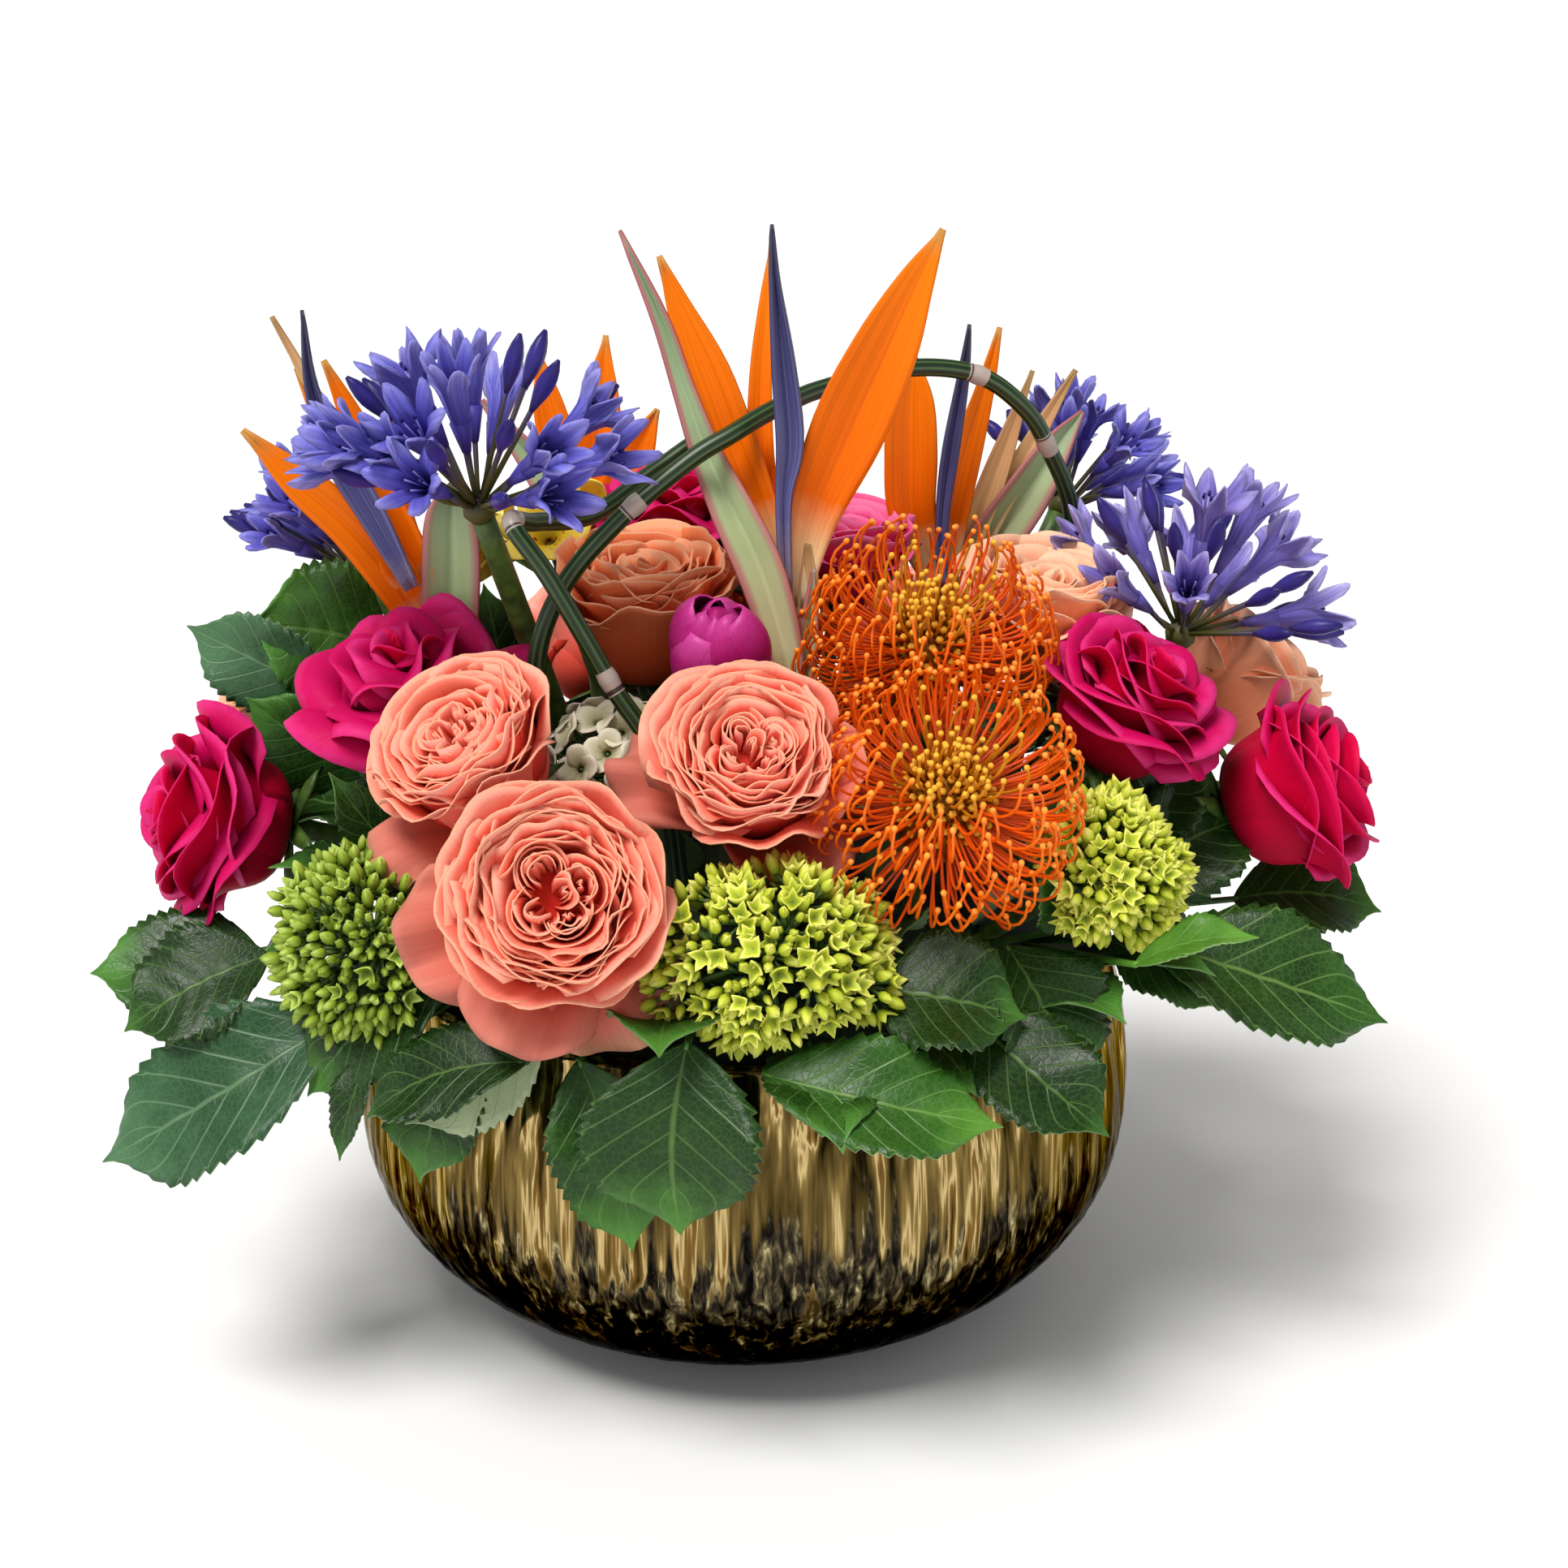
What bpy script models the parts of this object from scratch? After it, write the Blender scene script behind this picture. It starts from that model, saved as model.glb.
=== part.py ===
"""A low all-round flower arrangement in a squat bowl of metallic glass.

The bowl holds a block of wet floral foam. Every cut flower, leaf and horsetail is pushed into the
foam in its own socket, so each is one solid that could be pulled out again. The origin is the middle
of the bowl's flat base, +Z is up, and -Y is the side that faces the viewer. Lengths are in metres;
places are given in millimetres and scaled by MM.
"""

import math

import bmesh
import bpy
from mathutils import Vector

MM = 0.001

# Clearance between two solids that touch.
GAP = 0.3 * MM

# Bowl: a flat foot, an elliptical lower wall up to the belly, then a slightly closing upper wall.
FOOT_RADIUS = 45 * MM
BELLY_RADIUS = 128 * MM
BELLY_HEIGHT = 68 * MM
RIM_RADIUS = 121 * MM
RIM_HEIGHT = 125 * MM
WALL = 4 * MM
FLOOR = 6 * MM
BOWL_STEPS = 40

# Foam: fills the bowl and stands in a low dome above the rim.
FOAM_WALL_CLEARANCE = 3 * MM
FOAM_TOP = 152 * MM
FOAM_SHOULDER_RADIUS = 84 * MM

FLOWER_STEPS = 10
SOCKET_STEPS = 8
FLORET_STEPS = 5
MERGE = 0.00001

ROSE_STEM = 2.8 * MM
TENDER_STEM = 2.4 * MM
THICK_STEM = 4.0 * MM
HORSETAIL_RADIUS = 2.7 * MM
LEAF_THICKNESS = 0.9 * MM
LEAF_STALK_HALF = 1.4 * MM
SEPAL_THICKNESS = 1.6 * MM

ARRANGEMENT = bpy.data.collections.new("floral_centerpiece")
HELPERS = bpy.data.collections.new("cutters_and_joined_pieces")


def clear_scene():
    for obj in list(bpy.data.objects):
        bpy.data.objects.remove(obj, do_unlink=True)
    bpy.context.scene.collection.children.link(ARRANGEMENT)
    bpy.context.scene.collection.children.link(HELPERS)


def finish(name, colour, roughness, metallic=0.0):
    """A Principled material in a part's own colour."""
    made = bpy.data.materials.new(name)
    made.use_nodes = True
    shader = made.node_tree.nodes["Principled BSDF"]
    shader.inputs["Base Color"].default_value = (*colour, 1.0)
    shader.inputs["Roughness"].default_value = roughness
    shader.inputs["Metallic"].default_value = metallic
    return made


def add_object(name, mesh, material, collection=ARRANGEMENT):
    obj = bpy.data.objects.new(name, mesh)
    collection.objects.link(obj)
    mesh.materials.append(material)
    return obj


def as_helper(obj):
    obj.hide_render = True
    obj.display_type = "WIRE"


def direction(azimuth, elevation):
    """A unit vector from degrees round the bowl (0 is +X, -90 is the front) and degrees above level."""
    turn = math.radians(azimuth)
    rise = math.radians(elevation)
    return Vector((math.cos(turn) * math.cos(rise), math.sin(turn) * math.cos(rise), math.sin(rise)))


def point(place):
    """A place in millimetres as a vector in metres."""
    return Vector(place) * MM


def stand(obj, base, axis):
    """Puts a turned shape's own Z axis along axis, with its own origin at base."""
    obj.rotation_mode = "QUATERNION"
    obj.rotation_quaternion = axis.to_track_quat("Z", "Y")
    obj.location = base


def turned(name, profile, material, steps=FLOWER_STEPS, collection=ARRANGEMENT):
    """A solid of revolution from (radius, height) points that run down the outer side."""
    mesh = bpy.data.meshes.new(name)
    corners = [(radius, 0.0, height) for radius, height in profile]
    edges = [(index, index + 1) for index in range(len(profile) - 1)]
    mesh.from_pydata(corners, edges, [])
    obj = add_object(name, mesh, material, collection)
    screw = obj.modifiers.new("turn", "SCREW")
    screw.steps = steps
    screw.render_steps = steps
    screw.use_merge_vertices = True
    screw.merge_threshold = MERGE
    return obj


def tube(name, route, radius, material, sides_level=2, collection=ARRANGEMENT):
    """A round tube along points in metres, with filled ends; radius is one number or one per point."""
    data = bpy.data.curves.new(name, "CURVE")
    data.dimensions = "3D"
    data.bevel_depth = 1.0
    data.bevel_resolution = sides_level
    data.use_fill_caps = True
    data.resolution_u = 1
    spline = data.splines.new("POLY")
    spline.points.add(len(route) - 1)
    radii = radius if isinstance(radius, list) else [radius] * len(route)
    for control, place, half in zip(spline.points, route, radii):
        control.co = (*place, 1.0)
        control.radius = half
    return add_object(name, data, material, collection)


def as_mesh(curve):
    """The curve object made a mesh with its end caps welded on; the curve is removed."""
    name = curve.name
    bpy.context.view_layer.update()
    graph = bpy.context.evaluated_depsgraph_get()
    mesh = bpy.data.meshes.new_from_object(curve.evaluated_get(graph))
    welded = bmesh.new()
    welded.from_mesh(mesh)
    bmesh.ops.remove_doubles(welded, verts=welded.verts, dist=MERGE)
    bmesh.ops.recalc_face_normals(welded, faces=welded.faces)
    welded.to_mesh(mesh)
    welded.free()
    solid = bpy.data.objects.new(name + "_mesh", mesh)
    solid.matrix_world = curve.matrix_world
    for collection in curve.users_collection:
        collection.objects.link(solid)
    bpy.data.objects.remove(curve, do_unlink=True)
    solid.name = name
    return solid


def smooth_route(places, count):
    """count points on a Catmull-Rom curve through places (millimetres), evenly spread between them."""
    knots = [point(place) for place in places]
    knots = [knots[0] * 2 - knots[1], *knots, knots[-1] * 2 - knots[-2]]
    spans = len(knots) - 3
    route = []
    for index in range(count):
        at = index * spans / (count - 1)
        span = min(int(at), spans - 1)
        t = at - span
        before, start, end, after = knots[span : span + 4]
        route.append(
            0.5
            * (
                start * 2
                + (end - before) * t
                + (before * 2 - start * 5 + end * 4 - after) * t**2
                + (start * 3 - before - end * 3 + after) * t**3
            )
        )
    return route


def ribbon(name, material, root, base, tip, half_width, arch, thickness, fold, rows, stalk_rows,
           stalk_half, up, collection=ARRANGEMENT):
    """A leaf or sepal: a straight narrow stalk from root to base, then a blade that arches to its tip.

    It starts as a flat grid two columns wide whose rows run along the midrib. arch lifts the middle
    of the blade off its chord and fold lifts its two edges into a V, both towards up.
    """
    mesh = bpy.data.meshes.new(name)
    grid = bmesh.new()
    bmesh.ops.create_grid(grid, x_segments=2, y_segments=rows, size=1.0)
    start, joint, end = point(root), point(base), point(tip)
    for vertex in grid.verts:
        across = vertex.co.x
        row = (vertex.co.y + 1.0) / 2.0 * rows
        if row < stalk_rows:
            here = start.lerp(joint, row / stalk_rows)
            ahead = (joint - start).normalized()
            half = stalk_half
            share = 0.0
        else:
            share = (row - stalk_rows) / (rows - stalk_rows)
            here = joint.lerp(end, share)
            ahead = (end - joint).normalized()
            swell = math.sin(math.pi * share**0.8) ** 0.75 if 0.0 < share < 1.0 else 0.0
            half = max(0.5 * MM, stalk_half * (1.0 - share) + half_width * swell)
        side = ahead.cross(up).normalized()
        face = side.cross(ahead).normalized()
        lift = 4.0 * share * (1.0 - share) * arch + abs(across) * half * fold
        vertex.co = here + side * (across * half) + face * lift
    grid.to_mesh(mesh)
    grid.free()
    obj = add_object(name, mesh, material, collection)
    solidify = obj.modifiers.new("thickness", "SOLIDIFY")
    solidify.thickness = thickness
    solidify.offset = 0.0
    return obj


def union(obj, others):
    """Joins helper solids into obj with one Boolean each."""
    for other in others:
        as_helper(other)
        join = obj.modifiers.new("join_" + other.name, "BOOLEAN")
        join.operation = "UNION"
        join.solver = "EXACT"
        join.object = other


def scaled(outline, radius, height):
    return [(r * radius, h * height) for r, h in outline]


# Bloom outlines as shares of the bloom's radius and height, from the top of the middle down the outside.
ROSE_OUTLINE = [(0, 0.92), (0.5, 0.98), (0.88, 0.9), (1.0, 0.72), (0.9, 0.42), (0.55, 0.12)]
CUPPED_ROSE_OUTLINE = [(0, 0.86), (0.55, 0.96), (0.92, 0.86), (1.0, 0.62), (0.86, 0.3), (0.5, 0.08)]
BUD_OUTLINE = [(0, 1.0), (0.45, 0.86), (0.95, 0.5), (0.9, 0.25), (0.5, 0.04)]
MOPHEAD_OUTLINE = [(0, 1.0), (0.5, 0.9), (0.87, 0.6), (1.0, 0.25), (0.75, 0.0), (0.3, -0.08)]
PINCUSHION_OUTLINE = [(0, 1.0), (0.45, 0.92), (0.85, 0.66), (1.0, 0.3), (0.8, 0.02), (0.4, 0.0)]
ORCHID_OUTLINE = [(0, 0.5), (0.6, 1.0), (1.0, 0.8), (0.7, 0.2), (0.25, 0.0)]

# kind: (outline, bloom radius mm, bloom height mm, stem radius)
KINDS = {
    "hot_pink_rose": (ROSE_OUTLINE, 28.0, 44.0, ROSE_STEM),
    "pink_spray_rose": (ROSE_OUTLINE, 23.0, 34.0, TENDER_STEM),
    "coral_rose": (CUPPED_ROSE_OUTLINE, 28.0, 42.0, ROSE_STEM),
    "peach_rose": (CUPPED_ROSE_OUTLINE, 28.0, 46.0, ROSE_STEM),
    "magenta_bud": (BUD_OUTLINE, 15.0, 34.0, TENDER_STEM),
    "green_hydrangea": (MOPHEAD_OUTLINE, 28.0, 25.0, ROSE_STEM),
    "cream_hydrangea": (MOPHEAD_OUTLINE, 19.0, 24.0, TENDER_STEM),
    "pincushion": (PINCUSHION_OUTLINE, 29.0, 34.0, ROSE_STEM),
    "yellow_orchid": (ORCHID_OUTLINE, 17.0, 12.0, TENDER_STEM),
}

# Each cut flower: name, kind, size, middle of the bloom (mm), the way it faces, stem length (mm).
FLOWERS = [
    ("coral_rose_front", "coral_rose", 1.1, (-48, -128, 178), (-88, 27), 70),
    ("coral_rose_left", "coral_rose", 0.98, (-75, -90, 207), (-128, 50), 72),
    ("coral_rose_middle", "coral_rose", 0.98, (4, -94, 206), (-88, 45), 74),
    ("coral_rose_back_right", "coral_rose", 1.0, (56, 114, 190), (64, 35), 76),
    ("coral_rose_back_left", "coral_rose", 1.0, (-56, 116, 190), (116, 35), 76),
    ("peach_rose_left", "peach_rose", 1.0, (-30, -6, 232), (-90, 80), 76),
    ("peach_rose_right", "peach_rose", 0.92, (96, 0, 229), (-62, 76), 75),
    ("peach_rose_far_right", "peach_rose", 0.9, (168, 43, 196), (16, 48), 78),
    ("peach_rose_far_left", "peach_rose", 0.85, (-154, 40, 186), (158, 42), 84),
    ("hot_pink_rose_far_left", "hot_pink_rose", 1.1, (-168, -24, 168), (-160, 14), 84),
    ("hot_pink_rose_left", "hot_pink_rose", 1.05, (-101, -40, 216), (-112, 66), 76),
    ("hot_pink_rose_right", "hot_pink_rose", 1.0, (120, -46, 212), (-22, 54), 80),
    ("hot_pink_rose_far_right", "hot_pink_rose", 1.08, (175, -32, 180), (-14, 24), 80),
    ("hot_pink_rose_back", "hot_pink_rose", 1.0, (-20, 50, 250), (-90, 80), 98),
    ("hot_pink_rose_back_left", "hot_pink_rose", 1.0, (-118, 84, 190), (142, 38), 84),
    ("hot_pink_rose_back_right", "hot_pink_rose", 1.0, (120, 84, 196), (38, 42), 84),
    ("pink_spray_rose", "pink_spray_rose", 1.0, (34, 24, 244), (-30, 80), 92),
    ("magenta_bud", "magenta_bud", 1.0, (-6, -54, 227), (-90, 60), 82),
    ("yellow_orchid", "yellow_orchid", 1.0, (-63, 30, 243), (175, 72), 98),
    ("green_hydrangea_front", "green_hydrangea", 1.12, (9, -128, 165), (-87, 46), 52),
    ("green_hydrangea_left", "green_hydrangea", 1.05, (-112, -96, 157), (-140, 38), 62),
    ("green_hydrangea_right", "green_hydrangea", 0.85, (112, -88, 175), (-40, 35), 62),
    ("green_hydrangea_back", "green_hydrangea", 1.0, (-2, 134, 162), (92, 30), 62),
    ("green_hydrangea_back_left", "green_hydrangea", 0.9, (-118, 118, 153), (135, 20), 74),
    ("green_hydrangea_back_right", "green_hydrangea", 0.9, (132, 112, 154), (40, 22), 84),
    ("cream_hydrangea", "cream_hydrangea", 1.0, (-38, -56, 201), (-100, 60), 58),
    ("pincushion_front", "pincushion", 1.0, (60, -103, 203), (-80, 50), 80),
    ("pincushion_upper", "pincushion", 1.0, (57, -46, 234), (-80, 66), 92),
    ("pincushion_back", "pincushion", 1.0, (0, 92, 216), (90, 56), 82),
]

PETAL_COLOURS = {
    "hot_pink_rose": (0.80, 0.01, 0.14),
    "pink_spray_rose": (0.80, 0.10, 0.32),
    "coral_rose": (0.86, 0.25, 0.16),
    "peach_rose": (0.83, 0.33, 0.17),
    "magenta_bud": (0.53, 0.04, 0.32),
    "green_hydrangea": (0.42, 0.55, 0.08),
    "cream_hydrangea": (0.72, 0.72, 0.48),
    "pincushion": (0.85, 0.22, 0.02),
    "yellow_orchid": (0.86, 0.62, 0.06),
}

# Agapanthus: name, hub of the umbel (mm), stem direction, stem length, floret reach (mm), the widest
# floret's tilt from the stem, and the turn of the florets round it.
AGAPANTHUS = [
    ("agapanthus_left", (-76.5, -48, 272), (-118, 62), 150, 58, 82, 0),
    ("agapanthus_back_left", (-128, 40, 233), (172, 48), 130, 50, 44, 0),
    ("agapanthus_right", (143, 14, 219), (20, 66), 100, 56, 58, 30),
    ("agapanthus_back_right", (111, 84, 249), (38, 58), 145, 45, 70, 0),
]
FLORET_RINGS = ((0.28, 3), (0.66, 5), (1.0, 6))
FLORET_MOUTH_RADIUS = 6.5 * MM
PEDICEL_RADIUS = 1.3 * MM
HUB_RADIUS = 5.5 * MM

# Birds of paradise: the stem's foot, the neck where the flower opens, the tip of the green bract, and
# then the orange sepals and the blue tongue as (tip, half width), all in millimetres.
BIRDS = {
    "bird_of_paradise_centre": (
        (34, -26, 128), (11, -27, 250), (-36, -8, 349),
        [((-22.5, -14, 337), 8.8), ((9.5, 5, 346), 4.0), ((59, -38, 351), 12.5),
         ((10.5, -40, 353), 4.2)],
    ),
    "bird_of_paradise_right": (
        (46, 25, 128), (67.5, 40, 238), (109, 52, 282),
        [((55, 34, 306), 8.5), ((83, 40, 314), 5.5), ((95, 48, 300), 4.5), ((111, 50, 300), 4.0)],
    ),
    "bird_of_paradise_left": (
        (-63, -9, 122), (-96, -3, 230), (-89, 3, 262),
        [((-151, -16, 290), 7.5), ((-137, 0, 307), 7.5), ((-121, 10, 304), 4.5),
         ((-131, -14, 325), 3.5)],
    ),
    "bird_of_paradise_back": (
        (-43, 44, 124), (-54, 74, 230), (-92, 92, 284),
        [((-30, 78, 282), 6.5), ((-48, 88, 306), 7.5), ((-72, 92, 300), 6.0)],
    ),
}
BIRD_STEM = 4.2 * MM
BEAK_RADIUS = 6.0 * MM

# Horsetail stems, bent by hand into an arch and a fold: routes from socket to socket (mm).
HORSETAILS = {
    "horsetail_arch": [
        (-56, -33, 128), (-59, -45, 180), (-61, -50, 222), (-53, -48, 247), (-36, -44, 267),
        (-15, -38, 284), (-2, -33.5, 291.5), (7, -26.5, 296), (16, -19.5, 299.5), (26, -10, 302),
        (50, 5, 306), (72, 12, 304), (87, 16, 295), (98, 24, 280), (109, 38, 249), (100, 45, 200),
        (78, 46, 130),
    ],
    "horsetail_fold": [
        (-16, -66, 138), (-22, -72, 196), (-37, -70, 224), (-54, -67, 254), (-65, -64, 270),
        (-60, -50, 268), (-45, -28, 266), (-26, -12, 277), (-8, -2, 287), (4, 8, 283), (8, 12, 262),
        (6, 18, 205), (2, 24, 130),
    ],
}
HORSETAIL_POINTS = 30

# Leaves: root in the foam, base of the blade, tip (mm), half width (mm), arch (mm).
LEAVES = {
    "leaf_front_centre": ((-11, -92, 134), (-13, -139, 140), (-15, -148, 86), 23, 5),
    "leaf_front_under": ((-34, -86, 134), (-44, -128, 130), (-29, -141, 77), 17, 3),
    "leaf_front_left": ((-58, -76, 134), (-77, -110, 134), (-91, -124, 90), 18, 4),
    "leaf_front_left_fold": ((-46, -82, 136), (-58, -136, 133), (-105, -126, 111), 13, 5),
    "leaf_front_right_curl": ((24, -90, 130), (8, -138, 130), (74, -146, 118), 15, 4),
    "leaf_right_middle": ((34, -86, 134), (36, -119, 148), (82, -124, 141), 17, 4),
    "leaf_right_hanging": ((60, -74, 134), (78, -96, 152), (97, -118, 116), 21, 4),
    "leaf_right_light": ((88, -48, 134), (114, -108, 151), (148, -113, 161), 9, 3),
    "leaf_far_right": ((88, -42, 134), (124, -66, 142), (198, -70, 117), 17, 5),
    "leaf_far_right_back": ((94, -22, 134), (158, -22, 140), (205, -26, 137), 12, 3),
    "leaf_left_low": ((-84, -52, 134), (-117, -92, 128), (-191, -94, 82), 21, 6),
    "leaf_left_middle": ((-92, -36, 134), (-142, -72, 140), (-184, -84, 120), 14, 4),
    "leaf_left_upper": ((-92, -22, 134), (-150, -50, 133), (-202, -54, 127), 14, 2),
    "leaf_back_left_rounded": ((-80, 32, 140), (-117, 22, 212), (-160, 6, 224), 19, 3),
    "leaf_back_left_light": ((-86, 22, 138), (-134, 9, 198), (-180, 9, 223), 13, 3),
    "leaf_back_left_lower": ((-88, 10, 138), (-124, 8, 172), (-160, -2, 202), 14, 3),
    "leaf_back_centre": ((18, 92, 134), (22, 140, 138), (26, 150, 84), 21, 5),
    "leaf_back_left": ((-62, 74, 134), (-78, 116, 136), (-74, 146, 90), 20, 5),
    "leaf_back_right": ((74, 66, 134), (98, 104, 136), (98, 130, 92), 20, 5),
}
LEAF_UP_SHARE = 0.9


def bowl_outer_radius(height):
    """The outer wall's radius at a height: an ellipse up to the belly, then a gentle inward curve."""
    if height <= BELLY_HEIGHT:
        drop = 1.0 - height / BELLY_HEIGHT
        return FOOT_RADIUS + (BELLY_RADIUS - FOOT_RADIUS) * math.sqrt(1.0 - drop * drop)
    share = (height - BELLY_HEIGHT) / (RIM_HEIGHT - BELLY_HEIGHT)
    return BELLY_RADIUS - (BELLY_RADIUS - RIM_RADIUS) * share * share


def build_bowl():
    gold = finish("metallic_glass", (0.55, 0.36, 0.13), 0.12, 1.0)
    heights = [BELLY_HEIGHT * (1.0 - math.cos(math.pi / 2 * step / 7)) for step in range(8)]
    heights += [BELLY_HEIGHT + (RIM_HEIGHT - BELLY_HEIGHT) * share for share in (0.35, 0.7, 1.0)]
    inner = [(0.0, FLOOR), (bowl_outer_radius(FLOOR) - WALL, FLOOR)]
    inner += [(bowl_outer_radius(h) - WALL, h) for h in heights[3:]]
    outer = [(bowl_outer_radius(h), h) for h in reversed(heights)]
    turned("bowl", inner + outer + [(0.0, 0.0)], gold, BOWL_STEPS)


def build_foam():
    """The foam follows the bowl's inside and has a socket for every stem."""
    green = finish("wet_foam", (0.05, 0.12, 0.04), 0.95)
    clear = WALL + FOAM_WALL_CLEARANCE
    bottom = FLOOR + GAP
    heights = (RIM_HEIGHT, BELLY_HEIGHT, 40 * MM, 20 * MM)
    side = [(bowl_outer_radius(height) - clear, height) for height in heights]
    top = [(0.0, FOAM_TOP), (FOAM_SHOULDER_RADIUS, FOAM_TOP - 3 * MM)]
    foot = [(FOOT_RADIUS, bottom), (0.0, bottom)]
    return turned("floral_foam", top + side + foot, green, 32)


def socket(foam, foot, axis, radius, depth):
    """Cuts a round socket for a stem whose cut end is at foot and which leaves the foam along axis."""
    bore = (radius + GAP) / math.cos(math.pi / SOCKET_STEPS)
    profile = [(0.0, depth), (bore, depth), (bore, -GAP), (0.0, -GAP)]
    cutter = turned("socket", profile, foam.data.materials[0], SOCKET_STEPS, HELPERS)
    stand(cutter, foot, axis)
    as_helper(cutter)
    cut = foam.modifiers.new("socket", "BOOLEAN")
    cut.operation = "DIFFERENCE"
    cut.solver = "EXACT"
    cut.object = cutter


def build_flowers(foam):
    finishes = {kind: finish(kind + "_petals", PETAL_COLOURS[kind], 0.6) for kind in KINDS}
    for name, kind, size, middle, facing, stem in FLOWERS:
        outline, radius, height, stem_radius = KINDS[kind]
        axis = direction(*facing)
        bloom = scaled(outline, radius * size * MM, height * size * MM)
        calyx = [(stem_radius * 1.7, -2.5 * MM), (stem_radius, -8 * MM)]
        cut_end = [(stem_radius, -stem * MM), (0.0, -stem * MM)]
        flower = turned(name, bloom + calyx + cut_end, finishes[kind])
        base = point(middle) - axis * (height * size * MM / 2)
        stand(flower, base, axis)
        socket(foam, base - axis * (stem * MM), axis, stem_radius, stem * MM * 0.85)


def build_agapanthus(foam):
    blue = finish("agapanthus_petals", (0.13, 0.12, 0.62), 0.5)
    for name, hub, facing, stem, reach, spread, turn in AGAPANTHUS:
        axis = direction(*facing)
        centre = point(hub)
        knob = [(0.0, HUB_RADIUS), (HUB_RADIUS * 0.8, HUB_RADIUS * 0.6), (HUB_RADIUS, 0.0)]
        knob += [(THICK_STEM, -HUB_RADIUS), (THICK_STEM, -stem * MM), (0.0, -stem * MM)]
        umbel = turned(name, knob, blue, 10)
        stand(umbel, centre, axis)
        side = axis.orthogonal().normalized()
        florets = []
        for ring, (tilt, count) in enumerate(FLORET_RINGS):
            lean = math.radians(spread * tilt)
            for number in range(count):
                spin = math.tau * (number + 0.35 * ring) / count + math.radians(turn)
                around = side * math.cos(spin) + axis.cross(side) * math.sin(spin)
                out = axis * math.cos(lean) + around * math.sin(lean)
                length = reach * MM
                profile = [(0.0, length), (FLORET_MOUTH_RADIUS, length), (PEDICEL_RADIUS, length * 0.4),
                           (PEDICEL_RADIUS, 0.0), (0.0, 0.0)]
                floret = turned(name + "_floret", profile, blue, FLORET_STEPS, HELPERS)
                stand(floret, centre, out)
                florets.append(floret)
        union(umbel, florets)
        socket(foam, centre - axis * (stem * MM), axis, THICK_STEM, stem * MM * 0.6)


def build_birds(foam):
    """Each bird is a stem that swells at its neck, a bract that runs out to a beak, and its blades."""
    orange = finish("bird_of_paradise_sepals", (0.90, 0.24, 0.01), 0.5)
    for name, (foot, neck, beak, blades) in BIRDS.items():
        bend, end = point(neck), point(beak)
        route = [point(foot), bend]
        radii = [BIRD_STEM, BIRD_STEM * 1.15]
        for share, girth in ((0.25, 1.0), (0.55, 0.62), (0.8, 0.3), (1.0, 0.08)):
            route.append(bend.lerp(end, share))
            radii.append(BEAK_RADIUS * girth)
        bird = as_mesh(tube(name, route, radii, orange))
        joined = []
        for tip, half_width in blades:
            towards = Vector(tip) - Vector(neck)
            start = Vector(neck) - towards * 0.02
            joined.append(ribbon(name + "_blade", orange, start, Vector(neck) + towards * 0.06, tip,
                                 half_width * MM, 0.0, SEPAL_THICKNESS, 0.35, 8, 1, 2.4 * MM,
                                 Vector((0.0, -1.0, 0.2)), HELPERS))
        union(bird, joined)
        socket(foam, point(foot), (bend - point(foot)).normalized(), BIRD_STEM * 1.15, 60 * MM)


def build_horsetails(foam):
    green = finish("horsetail_green", (0.06, 0.16, 0.04), 0.4)
    for name, places in HORSETAILS.items():
        route = smooth_route(places, HORSETAIL_POINTS)
        tube(name, route, HORSETAIL_RADIUS, green)
        for end, inner in ((route[0], route[3]), (route[-1], route[-4])):
            socket(foam, end, (inner - end).normalized(), HORSETAIL_RADIUS * 1.3, 60 * MM)


def build_leaves(foam):
    green = finish("leaf_green", (0.05, 0.20, 0.05), 0.45)
    for name, (root, base, tip, half_width, arch) in LEAVES.items():
        out = Vector((base[0] + tip[0], base[1] + tip[1], 0.0)).normalized()
        up = (out * LEAF_UP_SHARE + Vector((0.0, 0.0, 1.0))).normalized()
        ribbon(name, green, root, base, tip, half_width * MM, arch * MM, LEAF_THICKNESS, 0.2, 9, 2,
               LEAF_STALK_HALF, up)
        stalk = (point(base) - point(root)).normalized()
        socket(foam, point(root), stalk, LEAF_STALK_HALF * 1.25, 50 * MM)


def main():
    clear_scene()
    build_bowl()
    foam = build_foam()
    build_flowers(foam)
    build_agapanthus(foam)
    build_birds(foam)
    build_horsetails(foam)
    build_leaves(foam)


main()
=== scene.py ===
import math

import bpy
import numpy as np
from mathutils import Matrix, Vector, noise


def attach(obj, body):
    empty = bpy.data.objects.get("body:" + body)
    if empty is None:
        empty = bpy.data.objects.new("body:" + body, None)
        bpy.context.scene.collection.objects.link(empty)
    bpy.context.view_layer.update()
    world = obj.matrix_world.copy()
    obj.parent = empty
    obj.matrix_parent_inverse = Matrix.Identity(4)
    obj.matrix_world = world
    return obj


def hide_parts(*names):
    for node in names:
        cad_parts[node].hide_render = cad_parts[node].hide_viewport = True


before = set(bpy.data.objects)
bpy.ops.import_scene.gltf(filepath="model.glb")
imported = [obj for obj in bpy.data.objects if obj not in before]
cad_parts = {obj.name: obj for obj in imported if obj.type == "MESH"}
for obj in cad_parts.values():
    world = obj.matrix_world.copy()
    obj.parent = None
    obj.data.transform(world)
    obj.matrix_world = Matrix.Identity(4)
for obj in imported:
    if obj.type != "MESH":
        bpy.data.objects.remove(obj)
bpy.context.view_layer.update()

MM = 0.001


# ---------------------------------------------------------------------------------------------
# The bowl: heavy blown glass, silvered inside and lacquered gold, with painted reflection of dark
# surroundings turning it bronze black below.
# The upper wall was pulled into uneven upright ripples, which break up into a fine mottle where
# the glass turns in to the foot. It stands free on its own base.

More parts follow.
